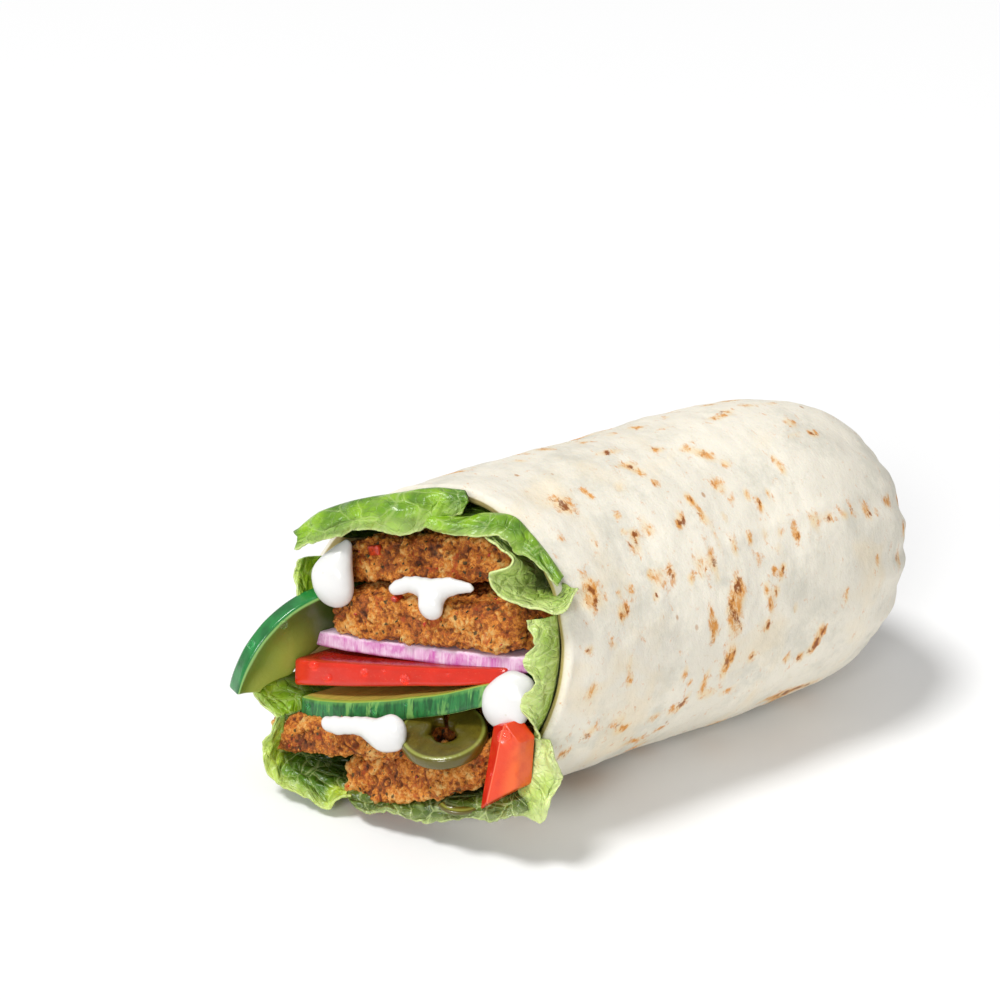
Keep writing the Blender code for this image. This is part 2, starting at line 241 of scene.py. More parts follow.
class Paint:
    """A Principled material, with one method that adds any other node."""

    def __init__(self, name, **constants):
        self.material = bpy.data.materials.new(name)
        self.material.use_nodes = True
        self.tree = self.material.node_tree
        self.shader = self.tree.nodes["Principled BSDF"]
        for socket, value in constants.items():
            self.shader.inputs[socket.replace("_", " ")].default_value = value

    def node(self, kind, settings=None, inputs=None, output=0):
        made = self.tree.nodes.new(kind)
        for key, value in (settings or {}).items():
            if key == "stops":
                while len(made.color_ramp.elements) < len(value):
                    made.color_ramp.elements.new(0.5)
                for element, (position, colour) in zip(made.color_ramp.elements, value):
                    element.position = position
                    element.color = (*colour, 1.0)
            else:
                setattr(made, key, value)
        for key, value in (inputs or {}).items():
            if isinstance(value, Wire):
                self.tree.links.new(value.socket, made.inputs[key])
            else:
                made.inputs[key].default_value = value
        return Wire(self, made.outputs[output])

    def scaled(self, vector, scale):
        return self.node("ShaderNodeVectorMath", {"operation": "MULTIPLY"}, {0: vector, 1: scale})

    def place(self, stretch=(1.0, 1.0, 1.0)):
        """The point in millimetres, stretched along each axis."""
        spot = self.node("ShaderNodeTexCoord", output=3)
        return self.scaled(spot, tuple(1.0 / MM / value for value in stretch))

    def map_of(self, name, stretch=(1.0, 1.0, 1.0)):
        """A vector kept on the mesh, stretched along each axis."""
        kept = self.node("ShaderNodeAttribute", {"attribute_name": name}, output=1)
        return self.scaled(kept, tuple(1.0 / value for value in stretch))

    def share_of(self, name):
        """A number kept on the mesh."""
        return self.node("ShaderNodeAttribute", {"attribute_name": name}, output=2)

    def part_of(self, vector, axis):
        return self.node("ShaderNodeSeparateXYZ", inputs={0: vector}, output=axis)

    def cloud(self, vector, size, detail=2.0, roughness=0.5, distortion=0.0):
        """Soft noise whose features are about that size in the vector's units."""
        return self.node("ShaderNodeTexNoise", None, {
            "Vector": vector, "Scale": 1.0 / size, "Detail": detail, "Roughness": roughness, "Distortion": distortion,
        })

    def cells(self, vector, size, feature="F1", output=0):
        """A net of cells of about that size: output 0 is a distance and output 1 a colour for each cell."""
        return self.node("ShaderNodeTexVoronoi", {"feature": feature},
                         {"Vector": vector, "Scale": 1.0 / size}, output)

    def step(self, value, low, high):
        """0 below low, 1 above high and smooth between."""
        if low > high:
            return 1.0 - self.step(value, high, low)
        return self.node("ShaderNodeMapRange", {"interpolation_type": "SMOOTHSTEP"}, {0: value, 1: low, 2: high})

    def ramp(self, value, *stops):
        return self.node("ShaderNodeValToRGB", {"stops": stops}, {0: value})

    def mix(self, factor, first, second):
        """The first colour where the factor is 0 and the second where it is 1."""
        ends = [value if isinstance(value, Wire) else (*value, 1.0) for value in (first, second)]
        return self.node("ShaderNodeMix", {"data_type": "RGBA"}, {0: factor, 6: ends[0], 7: ends[1]}, 2)

    def feed(self, **sockets):
        for name, value in sockets.items():
            self.tree.links.new(value.socket, self.shader.inputs[name.replace("_", " ")])

    def bump(self, *heights):
        """Feeds the normal from (height, depth in millimetres) pairs, one over the other."""
        normal = None
        for height, depth in heights:
            inputs = {"Height": height, "Distance": depth * MM, "Strength": 1.0}
            if normal is not None:
                inputs["Normal"] = normal
            normal = self.node("ShaderNodeBump", None, inputs)
        self.feed(Normal=normal)


# The tortilla


CAVITY_END = 30.0
CAVITY_ROUND = 8.0
RIM_EDGE = 0.7
RIM_REACH = 12.0
RIM_TURNS = (30.0, 60.0, 90.0, 120.0, 150.0)
SOLE_ROUND = 0.8

# Steps along the lengthwise section, and round the roll
END_STEPS = 44
WALL_STEPS = 108
INNER_STEPS = 30
ROUND_STEPS = 300

# The outer flap's edge, and how far from the axis it has its full height
SEAM_STEP = 1.0
SEAM_ANGLE = math.radians(-150.0)
SEAM_HUB = 30.0

# The gathered folds: where they start and are full, from the closed end, and how far from the axis
PLEATS_START = 34.0
PLEATS_FULL = 12.0
PLEAT_HUB = 14.0

# The soft crease along the side
RIDGE_ANGLE = math.radians(34.5)
RIDGE_TURN = 0.0009
RIDGE_WIDTH = 1.3
RIDGE_HEIGHT = 0.28
RIDGE_SPAN = (40.0, 62.0)

# The part of the wall, from its outer to its inner side, past which the sheet counts as inside the roll
INSIDE_SHARE = 0.6


def body_radius(along):
    """The roll's radius before its closed end is rounded: it swells a little towards that end."""
    return RIM_RADIUS + SWELL * smooth_step(0.0, LENGTH, min(along, LENGTH - END_LENGTH * 0.4))


def outer_radius(x):
    """The roll's radius along its length, with the round of the closed end."""
    along = x - CUT_MIDDLE
    body = body_radius(along)
    into_end = (along - (LENGTH - END_LENGTH)) / END_LENGTH
    if into_end <= 0.0:
        return body
    return body * math.cos(math.asin(min(1.0, into_end))) ** END_ROUNDNESS


def tortilla_profile(wall):
    """Half of the lengthwise section as (x, radius, how far it is inside the roll)."""
    points = []
    end_start = CUT_MIDDLE + LENGTH - END_LENGTH
    for step in range(END_STEPS):
        x = end_start + END_LENGTH * math.sin(math.radians(90.0 - 90.0 * step / END_STEPS))
        points.append((x, outer_radius(x) if step else 0.0, 0.0))
    rim = CUT_MIDDLE + RIM_EDGE
    for step in range(WALL_STEPS):
        x = end_start + (rim - end_start) * step / (WALL_STEPS - 1)
        points.append((x, outer_radius(x), 0.0))
    for turn in RIM_TURNS:
        lean = math.radians(turn)
        radius = RIM_RADIUS - 0.5 * wall + 0.5 * wall * math.cos(lean) ** 3
        points.append((CUT_MIDDLE + RIM_EDGE * (1.0 - math.sin(lean)), radius, turn / 180.0))
    cavity_end = CUT_MIDDLE + LENGTH - CAVITY_END
    for step in range(INNER_STEPS):
        x = rim + (cavity_end - CAVITY_ROUND - rim) * (step / (INNER_STEPS - 1)) ** 1.6
        points.append((x, outer_radius(x) - wall, 1.0))
    for before_end, share in ((2.5, 0.77), (0.0, 0.42), (0.0, 0.0)):
        points.append((cavity_end - before_end, share * RIM_RADIUS, 1.0))
    return points


def seam_rise(angle):
    """The sheet rises slowly round the roll and drops at the outer flap's edge."""
    turn = ((angle - SEAM_ANGLE) / math.tau) % 1.0
    return SEAM_STEP * (turn - 0.5)


def pleat(angle, along, pleats):
    """One gathered fold of the closed end: it rises slowly and tucks under the next."""
    turn = (pleats * angle + 2.0 * math.sin(angle * 2.0) + along * 0.12) / math.tau
    share = turn - math.floor(turn)
    return math.cos(math.tau * share) + 0.35 * math.sin(2.0 * math.tau * share)


def shape_roll(x, y, z, inside, wall, pleats, pleat_depth):
    """Slants the rim, gathers the closed end and settles the underside on the ground."""
    angle = math.atan2(z, -y)
    radius = math.hypot(y, z)
    along = x - CUT_MIDDLE
    slant = max(0.0, 1.0 - along / (LENGTH - END_LENGTH))
    x += slant * (CUT_SIDE * y + CUT_UP * z)
    scale = 1.0
    outside = 1.0 - inside
    behind_rim = smooth_step(0.0, RIM_REACH, along)
    if radius > 1.0:
        round_way = Vector((0.0, math.cos(angle), math.sin(angle)))
        tuck = smooth_step(LENGTH - PLEATS_START, LENGTH - PLEATS_FULL, along)
        lift = pleat_depth * tuck * min(1.0, radius / PLEAT_HUB) * pleat(angle, along, pleats)
        wave = 0.25 * math.sin(3.0 * angle + along * 0.05) + 0.2 * math.sin(along * 0.16 + 2.0 * angle)
        seam = seam_rise(angle) * behind_rim * min(1.0, radius / SEAM_HUB)
        spot = Vector((along * 0.075, 2.1 * round_way.y, 2.1 * round_way.z))
        blister = 0.30 * noise.noise(spot * 2.2) + 0.16 * noise.noise(spot * 5.5)
        ridge_line = math.exp(-((angle - RIDGE_ANGLE - RIDGE_TURN * along) * radius / RIDGE_WIDTH) ** 2)
        ridge = RIDGE_HEIGHT * ridge_line * smooth_step(*RIDGE_SPAN, along)
        rim_wave = 0.35 * noise.noise(Vector((3.0 * round_way.y, 3.0 * round_way.z, 4.0)))
        detail = (lift + wave * behind_rim + seam + blister + ridge) * outside
        scale = (radius + detail + rim_wave * (1.0 - behind_rim)) / radius
        x += (1.0 - behind_rim) * 0.45 * noise.noise(Vector((4.0 * round_way.y, 4.0 * round_way.z, 9.0)))
    height = z * scale + body_radius(along) - SETTLE
    sole = (wall - SETTLE) * inside + SOLE_ROUND
    if height < sole:
        height = sole + SOLE_ROUND * (math.exp((height - sole) / SOLE_ROUND) - 1.0)
    return x, y * scale, height


# Toasted marks as (x, angle in degrees, half length round the roll, half width along it, strength)
TOAST_MARKS = (
    (-41.7, 69, 2.4, 2.2, 0.85), (-49.3, 56, 1.0, 1.0, 0.60), (-16.2, 102, 1.0, 2.0, 0.60),
    (-16.8, 88, 1.0, 3.0, 0.75), (-17.9, 78, 1.0, 2.0, 0.85), (-17.0, 73, 1.4, 1.4, 0.85),
    (-15.8, 66, 0.9, 0.8, 0.90), (-6.6, 81, 1.0, 1.4, 0.80), (-25.1, 69, 1.2, 1.4, 0.60),
    (-33.5, 69, 0.6, 0.5, 1.00), (-33.8, 72, 0.6, 0.4, 1.00), (0.5, 77, 1.0, 1.6, 0.80), (2.3, 73, 1.0, 1.4, 0.90),
    (3.5, 70, 1.0, 1.6, 0.75), (5.9, 65, 1.0, 1.2, 0.70), (17.4, 89, 1.0, 3.0, 0.80), (21.7, 92, 1.0, 1.5, 0.60),
    (28.5, 93, 1.0, 1.8, 0.70), (34.9, 92, 1.0, 1.8, 0.60), (45.5, 96, 1.0, 1.6, 0.85), (8.4, 102, 1.0, 1.4, 0.60),
    (2.8, 93, 1.0, 1.8, 0.50), (-7.8, 102, 1.0, 1.4, 0.60), (31.1, 75, 1.2, 0.9, 1.00), (29.2, 68, 1.0, 1.6, 0.60),
    (34.9, 68, 1.0, 1.0, 1.00), (19.7, 58, 1.9, 0.8, 1.00), (0.1, 58, 1.6, 1.6, 0.75), (-10.1, 56, 1.3, 0.8, 1.00),
    (-9.4, 50, 1.9, 0.8, 1.00), (-15.3, 50, 1.3, 1.0, 0.90), (-17.2, 48, 0.8, 0.9, 0.90), (6.1, 51, 1.2, 0.6, 1.00),
    (8.4, 46, 1.5, 0.7, 1.00), (12.1, 49, 1.2, 0.6, 0.85), (-3.0, 46, 1.0, 0.6, 0.70), (1.3, 51, 0.9, 0.8, 0.60),
    (-31.3, 58, 0.7, 0.6, 1.00), (-29.9, 50, 0.8, 0.7, 1.00), (-25.5, 51, 1.6, 1.5, 0.80),
    (-31.0, 46, 1.6, 1.6, 0.75), (-32.4, 52, 0.7, 0.5, 0.70), (-40.9, 52, 1.8, 0.8, 0.45),
    (-28.0, 33, 1.5, 1.4, 0.75), (-24.0, 33, 2.0, 1.0, 0.75), (-30.2, 35, 0.8, 0.5, 1.00),
    (-19.0, 29, 1.0, 0.6, 0.90), (-15.5, 33, 2.2, 1.5, 0.75), (-11.5, 32, 2.6, 1.0, 0.85),
    (-8.2, 40, 3.4, 0.8, 0.50), (-4.0, 35, 1.8, 0.8, 0.75), (1.5, 36, 1.4, 0.7, 0.95), (6.4, 35, 1.2, 0.8, 0.60),
    (11.0, 35, 1.0, 0.7, 0.70), (15.3, 34, 1.6, 0.8, 0.75), (15.8, 32, 0.5, 0.4, 1.00), (22.1, 35, 1.5, 1.2, 0.85),
    (26.0, 34, 1.0, 0.9, 0.90), (30.1, 34, 1.0, 1.0, 0.85), (33.3, 34, 1.4, 1.0, 0.60), (37.4, 33, 1.7, 0.9, 1.00),
    (41.0, 31, 1.0, 0.6, 0.70), (47.2, 34, 1.3, 1.4, 1.00), (54.5, 33, 1.6, 1.0, 1.00), (51.7, 19, 2.0, 1.0, 0.90),
    (38.5, 13, 1.2, 0.7, 0.90), (48.0, 7, 1.8, 1.0, 0.90), (6.4, 23, 0.9, 0.5, 0.90), (8.4, 21, 1.0, 0.5, 1.00),
    (9.8, 23, 0.6, 0.6, 0.80), (9.1, 29, 1.2, 1.0, 0.50), (2.2, 28, 1.0, 0.5, 0.60), (-5.5, 21, 2.3, 1.4, 1.00),
    (-7.5, 15, 2.4, 1.8, 1.00), (-7.7, 5, 4.6, 1.4, 0.55), (3.3, 17, 1.4, 0.8, 0.85), (6.2, 15, 1.2, 0.8, 0.80),
    (4.5, 11, 1.6, 0.7, 1.00), (12.2, 7, 1.0, 0.5, 0.60), (-13.4, 9, 1.8, 0.8, 1.00), (-14.5, 15, 3.0, 0.8, 0.65),
    (-5.2, 7, 1.2, 0.9, 0.55), (3.1, 4, 1.2, 0.9, 0.75), (-47.7, 35, 2.6, 2.2, 1.00), (-40.6, 25, 1.4, 0.9, 1.00),
    (-38.7, 26, 1.0, 0.8, 0.80), (-36.7, 32, 1.0, 1.0, 0.80), (-40.0, 32, 0.8, 0.7, 0.70),
    (-29.9, 27, 0.8, 0.4, 0.90), (27.6, 5, 1.7, 0.6, 0.80), (-7.0, -3, 1.2, 0.7, 1.00), (-8.6, -6, 2.0, 0.8, 1.00),
    (-0.5, -6, 1.0, 1.0, 0.90), (21.6, -6, 1.3, 1.0, 1.00), (20.6, -10, 1.3, 0.8, 0.90), (19.0, -13, 1.2, 0.9, 0.90),
    (16.3, -15, 1.2, 1.0, 0.90), (11.6, -13, 1.2, 1.0, 0.80), (23.3, -39, 1.6, 4.0, 1.00),
    (14.2, -39, 1.2, 2.4, 0.90), (-20.6, -3, 1.2, 0.6, 0.90), (-18.3, -8, 1.0, 0.6, 0.80),
    (-13.4, -10, 2.2, 0.8, 0.90), (-17.2, -17, 2.0, 0.8, 0.95), (-37.9, 7, 1.8, 0.6, 0.65),
    (-36.8, 1, 1.1, 0.9, 0.80), (-50.3, 17, 0.8, 1.2, 0.70), (-44.1, 17, 1.5, 0.6, 0.60),
    (-42.6, 15, 1.0, 0.5, 0.60), (-47.7, 2, 1.4, 1.4, 0.85), (-32.5, -20, 1.0, 1.3, 1.00),
    (-25.1, -33, 1.0, 2.0, 1.00), (-35.9, -16, 2.0, 2.0, 0.45), (-43.1, -15, 1.6, 1.2, 0.70),
    (-24.4, -20, 1.2, 2.0, 0.70), (-19.0, -30, 1.0, 1.6, 0.70), (-19.4, -19, 1.4, 1.2, 0.60),
    (-11.0, -16, 1.2, 2.0, 0.65), (-4.7, -19, 1.1, 2.0, 0.65), (-47.0, -23, 1.6, 1.6, 0.80),
)
SMALLEST_MARK = 0.7
MARK_SEED = 11
# The loose marks: ranges of x, angle in degrees, half length, half width and strength
LOOSE_MARKS = ((-50.0, 56.0), (100.0, 318.0), (0.8, 2.8), (0.7, 2.0), (0.5, 1.0))


def toast_marks(loose):
    """The listed marks and some loose ones on the sides that the listed ones don't cover."""
    draw = random.Random(MARK_SEED)
    marks = list(TOAST_MARKS) + [tuple(draw.uniform(*span) for span in LOOSE_MARKS) for _ in range(loose)]
    return [(x, math.radians(angle), *rest) for x, angle, *rest in marks]


def mark_strength(x, angle, marks):
    total = 0.0
    for mark_x, mark_angle, length, width, strength in marks:
        across = (x - mark_x) / max(width, SMALLEST_MARK)
        if abs(across) > 3.0:
            continue
        around = math.remainder(angle - mark_angle, math.tau) * RIM_RADIUS / max(length, SMALLEST_MARK)
        if abs(around) < 3.0:
            total += strength * math.exp(-0.5 * (across * across + around * around))
    return min(1.0, total)


def make_tortilla(look, wall, pleats, pleat_depth, loose_marks):
    bm = bmesh.new()
    side = bm.verts.layers.float.new("inside")
    toasted = bm.verts.layers.float.new("toasted")
    points = tortilla_profile(wall)
    verts = [bm.verts.new((x, 0.0, radius)) for x, radius, inside in points]
    edges = [bm.edges.new(pair) for pair in zip(verts[:-1], verts[1:])]
    for vert, (x, radius, inside) in zip(verts, points):
        vert[side] = inside
    bmesh.ops.spin(bm, geom=verts + edges, cent=(0.0, 0.0, 0.0), axis=(1.0, 0.0, 0.0), angle=math.tau,
                   steps=ROUND_STEPS, use_merge=True)
    bmesh.ops.remove_doubles(bm, verts=bm.verts, dist=0.0005)
    marks = toast_marks(loose_marks)
    for vert in bm.verts:
        x, y, z = vert.co
        within = vert[side] > INSIDE_SHARE
        vert[toasted] = 0.0 if within else mark_strength(x, math.atan2(z, -y), marks)
        vert.co = shape_roll(x, y, z, 1.0 if within else 1.6 * vert[side], wall, pleats, pleat_depth)
    place_piece("tortilla_sheet", bm, look, ("tortilla",))


def paint_tortilla(cream, toast, scorch):
    paint = Paint("toasted_tortilla", Roughness=0.62, Subsurface_Weight=0.06, Subsurface_Radius=(1.0, 0.7, 0.4),
                  Subsurface_Scale=0.002, Specular_IOR_Level=0.35)
    place = paint.place()
    mask = paint.share_of("toasted")
    inside = paint.share_of("inside")
    broad = paint.cloud(place, 26.0, 3.0)
    base = paint.mix(paint.step(broad, 0.42, 0.62), shade(0.93, cream), cream)
    damp = paint.step(paint.cloud(place, 15.0, 5.0, 0.72), 0.47, 0.66)
    base = paint.mix(damp * 0.60, base, (0.63, 0.61, 0.52))
    warm = paint.step(paint.cloud(place, 20.0, 3.0, 0.6, 0.4), 0.54, 0.70)
    base = paint.mix(warm * 0.40, base, (0.88, 0.73, 0.49))
    grain = paint.cloud(place, 0.9, 3.0, 0.6)
    base = paint.mix(paint.step(grain, 0.38, 0.30) * 0.35, base, (0.70, 0.62, 0.46))
    streaky = paint.place((1.0, 1.7, 1.7))
    streaks = paint.cloud(streaky, 1.5, 5.0, 0.72, 0.35)
    level = mask * 0.42 + (streaks - 0.5) * 1.7
    halo = paint.step(mask + (paint.cloud(place, 3.0, 2.0) - 0.5) * 0.8, 0.15, 0.95)
    tan = paint.step(level, 0.15, 0.50)
    core = paint.cloud(streaky, 2.0, 3.0, 0.6)
    brown = paint.step(level * 0.7 + mask * 0.25 + (core - 0.5) * 1.5, 0.47, 0.72)
    base = paint.mix(halo * 0.50, base, (0.88, 0.58, 0.19))
    base = paint.mix(tan * 0.88, base, toast)
    base = paint.mix(brown * 0.85, base, scorch)
    fleck = paint.cells(streaky, 5.2)
    lone = paint.part_of(paint.cells(streaky, 5.2, output=1), 0)
    flecks = paint.step(fleck, 0.10, 0.05) * paint.step(lone, 0.66, 0.76)
    base = paint.mix(flecks * 0.65, base, (0.45, 0.19, 0.045))
    # Olive on the rim's inner edge and the inner wall: partly an oil stain, partly painted shade inside the roll
    oil = paint.step(inside, 0.15, 0.75)
    base = paint.mix(oil * 0.85, base, (0.46, 0.34, 0.07))
    paint.feed(Base_Color=base, Roughness=0.68 - brown * 0.18 - oil * 0.15)
    fine = paint.cloud(place, 0.55, 3.0, 0.6)
    puffs = paint.cloud(streaky, 1.4, 3.0)
    paint.bump((fine, 0.07), (puffs, 0.16))
    return paint.material


# Layers of the filling


LAYER_DEPTH = 80.0


def layer_mesh(across, middle, reach, thick, edge, curve, tilt=0.0, lean=0.0, taper=0.0, bend=0.0, bump=0.0, seed=1,
               steps=(24, 70, 8)):
    """A layer that runs from the cut back through the roll.

    across is its span of s, middle its height t, tilt and taper the height and thickness gained for each mm of s,
    edge the radius of its edges, bend how far its ends turn up, reach how far its front stands out at the middle,
    curve how much less it does at the ends, lean how much more it does at the first end, and bump how uneven it is.
    The mesh keeps s, the height in the layer from -1 to 1 and the distance behind the front.
    """
    bm = box_grid(*steps)
    kept = bm.verts.layers.float_vector.new("slice")
    half_width = 0.5 * (across[1] - across[0])
    centre = 0.5 * (across[1] + across[0])
    for vert in bm.verts:
        share = vert.co.copy()
        share.x = 2.0 * (0.5 * share.x + 0.5) ** 1.9 - 1.0
        local = rounded(share, (0.5 * LAYER_DEPTH, half_width, 0.5 * thick), edge)
        depth = (local.x + 0.5 * LAYER_DEPTH) / LAYER_DEPTH
        s = centre + local.y
        side = local.y / half_width
        t = middle + tilt * local.y + local.z * (1.0 + taper * local.y / thick) + bend * side * side
        if bump:
            swell = lumps((local.x, s, t), 7.0, seed) + 0.5 * lumps((local.x, s, t), 3.15, seed)
            s += bump * swell * side
            t += bump * 0.6 * swell * (1.0 if local.z > 0.0 else -1.0) * min(1.0, abs(local.z) / (0.3 * thick))
        y, z = section_point(s, t)
        outside = reach * (1.0 - smooth_step(0.0, 0.3, depth))
        y, z = hold_in(y, z, ROOM + 0.25 * outside)
        front = cut_x(y, z) - reach + lean * side + curve * side ** 4
        if bump:
            front += bump * lumps((local.x, s * 1.3, t * 1.3), 4.9, seed + 3)
        x = front + depth * (FILLING_END - front)
        vert[kept] = (s, local.z / (0.5 * thick), x - front)
        vert.co = (x, y, z)
    return bm


PATTY_VOXEL = 0.52
CRUST_DEPTH = 0.72
CRUST_SEED = 5
PATTIES = {
    "patty_top": {"across": (-21.0, 20.0), "middle": 17.6, "reach": 3.0, "thick": 9.4},
    "patty_second": {"across": (-19.0, 24.4), "middle": 6.2, "reach": 5.2, "thick": 9.4, "tilt": -0.07, "lean": 0.5},
    "patty_third": {"across": (-26.4, 6.0), "middle": -15.7, "reach": 11.0, "thick": 8.0, "tilt": -0.01, "lean": 1.5},
    "patty_bottom": {"across": (-12.4, 20.6), "middle": -23.7, "reach": 8.0, "thick": 10.4, "tilt": 0.15},
}


def roughen_patty(bm, seed):
    """Breaks the skin of a patty into crumbs, pits and cracks, and keeps how far each point stands out."""
    crust = bm.verts.layers.float.new("crust")
    bm.normal_update()
    noise.seed_set(CRUST_SEED)
    moves = []
    for vert in bm.verts:
        point = vert.co
        warped = point + 0.8 * noise.noise_vector(point / 2.4)
        lump = lumps(warped, 4.2, seed)
        crumb = grains(warped, 2.3, seed)
        small = lumps(point, 0.9, seed + 5) + 0.6 * lumps(point, 1.7, seed + 6)
        crack = max(0.0, 0.16 - abs(lumps(warped, 3.1, seed + 9))) / 0.16
        height = 1.0 * lump + 0.75 * (crumb - 0.35) + 0.8 * small - 0.7 * crack ** 2
        moves.append(height)
    for vert, height in zip(bm.verts, moves):
        vert[crust] = min(1.0, max(0.0, 0.5 + 0.5 * height))
        vert.co += vert.normal * (CRUST_DEPTH * height - 0.10)


def make_patty(name, look, seed):
    bm = layer_mesh(edge=1.9, curve=1.2, bump=0.9, seed=seed, steps=(20, 30, 8), **PATTIES[name])
    bm = remeshed(bm, PATTY_VOXEL)
    roughen_patty(bm, seed)
    place_piece(name + "_crust", bm, look, (name,))


def paint_patty(deep, middle, bright, herb):
    paint = Paint("fried_patty", Specular_IOR_Level=0.45, Subsurface_Weight=0.05, Subsurface_Radius=(1.0, 0.4, 0.2),
                  Subsurface_Scale=0.0015)
    place = paint.place()
    crust = paint.share_of("crust")
    soft = paint.cloud(place, 6.5, 4.0, 0.65, 0.8)
    fine = paint.cloud(place, 0.75, 4.0, 0.75, 0.5)
    # The crust height lightens the crumb tops, which are the crisp crust, and darkens the pits as painted shade
    level = crust * 0.50 + (soft - 0.5) * 1.5 + (fine - 0.5) * 1.3 + 0.365
    base = paint.ramp(level, (0.08, deep), (0.30, shade(0.55, middle)), (0.48, middle),
                      (0.66, bright), (0.92, (0.86, 0.52, 0.17)))
    red = paint.step(paint.cloud(place, 2.6, 3.0, 0.65, 0.8), 0.56, 0.66)
    base = paint.mix(red * 0.65, base, (0.52, 0.070, 0.008))
    pale = paint.step(paint.cloud(place, 11.0, 2.0), 0.60, 0.74) * paint.step(fine, 0.46, 0.60)
    base = paint.mix(pale * 0.6, base, (0.80, 0.52, 0.20))
    green = paint.step(paint.cloud(place, 1.7, 2.0, 0.6, 1.0), 0.66, 0.72)
    base = paint.mix(green * 0.5, base, (0.20, 0.16, 0.02))
    herb_cell = paint.part_of(paint.cells(place, 1.3, output=1), 0)
    herbs = paint.step(paint.cells(place, 1.3) + (fine - 0.5) * 0.5, 0.40, 0.28) * paint.step(herb_cell, 0.88, 0.91)
    base = paint.mix(herbs * 0.85, base, herb)
    # The pits are darkened further: painted shade in the hollows
    pit = paint.step(crust, 0.22, 0.0)
    base = paint.mix(pit * 0.6, base, shade(0.4, deep))
    paint.feed(Base_Color=base, Roughness=0.32 + fine * 0.45)
    paint.bump((fine, 0.55), (paint.cloud(place, 0.32, 4.0, 0.7), 0.16))
    return paint.material


SLICES = {
    "onion": {"across": (-25.3, 25.0), "middle": -0.1, "reach": 3.6, "thick": 3.1, "tilt": -0.094, "edge": 0.45,
              "curve": 1.6, "lean": 0.8},
    "tomato": {"across": (-24.0, 21.5), "middle": -3.9, "reach": 6.8, "thick": 4.3, "tilt": -0.012, "taper": -0.055,
               "edge": 0.6, "curve": 1.6, "lean": 2.6},
    "cucumber": {"across": (-21.2, 22.3), "middle": -10.2, "reach": 8.5, "thick": 4.3, "tilt": 0.085, "bend": 1.6,
                 "edge": 0.5, "curve": 2.6, "lean": 2.6},
}
WOBBLES = {"onion": 0.10, "tomato": 0.06, "cucumber": 0.10}


def make_slice(name, look):
    bm = layer_mesh(**SLICES[name])
    for vert in bm.verts:
        vert.co.z += lumps(vert.co, 9.0, 3) * 0.18 + lumps(vert.co, 3.0, 4) * WOBBLES[name]
    place_piece(name + "_slice", bm, look, (name,))


def paint_onion(purple, pale):
    paint = Paint("red_onion", Roughness=0.28, Subsurface_Weight=0.18, Subsurface_Radius=(1.0, 0.6, 0.9),
                  Subsurface_Scale=0.0015, Coat_Weight=0.25, Coat_Roughness=0.12)
    slice_map = paint.map_of("slice")
    across = paint.map_of("slice", (0.7, 4.0, 9.0))
    place = paint.place()
    height = paint.part_of(slice_map, 1)
    streaks = paint.cloud(across, 1.0, 4.0, 0.7, 0.6)
    bands = paint.cloud(paint.map_of("slice", (3.4, 3.0, 30.0)), 1.0, 3.0, 0.6, 0.4)
    depth = paint.step(streaks, 0.36, 0.66) * 0.45 + paint.step(bands, 0.40, 0.64) * 0.60
    base = paint.mix(depth, pale, purple)
    base = paint.mix(paint.step(height + (streaks - 0.5), 0.62, 0.98) * 0.75, base, (0.90, 0.72, 0.82))
    base = paint.mix(paint.step(height - (bands - 0.5) * 0.8, -0.45, -0.95) * 0.7, base, (0.42, 0.045, 0.24))
    base = paint.mix(paint.step(paint.cloud(place, 0.5, 2.0), 0.62, 0.72) * 0.25, base, (0.9, 0.8, 0.88))
    paint.feed(Base_Color=base)
    paint.bump((streaks, 0.12))
    return paint.material


def paint_tomato(skin, flesh):
    paint = Paint("tomato_slice", Roughness=0.22, Subsurface_Weight=0.08, Subsurface_Radius=(1.0, 0.2, 0.1),
                  Subsurface_Scale=0.0015, Coat_Weight=0.25, Coat_Roughness=0.08)
    slice_map = paint.map_of("slice")
    place = paint.place()
    height = paint.part_of(slice_map, 1)
    behind = paint.part_of(slice_map, 2)
    soft = paint.cloud(place, 6.0, 3.0)
    base = paint.mix(paint.step(soft, 0.35, 0.65), shade(0.88, skin), skin)
    top = paint.step(height, 0.86, 0.99)
    pulp = paint.cloud(place, 1.6, 3.0, 0.6, 0.5)
    flesh_tone = paint.mix(paint.step(pulp, 0.4, 0.6), flesh, shade(1.25, flesh))
    base = paint.mix(top, base, flesh_tone)
    base = paint.mix(paint.step(behind, 1.2, 0.4) * top * 0.6, base, (0.66, 0.06, 0.02))
    base = paint.mix(paint.step(paint.cells(place, 0.7), 0.16, 0.08) * 0.3, base, (0.85, 0.22, 0.09))
    paint.feed(Base_Color=base)
    paint.bump((paint.cloud(place, 1.2, 2.0), 0.05), (pulp * top, 0.2))
    return paint.material


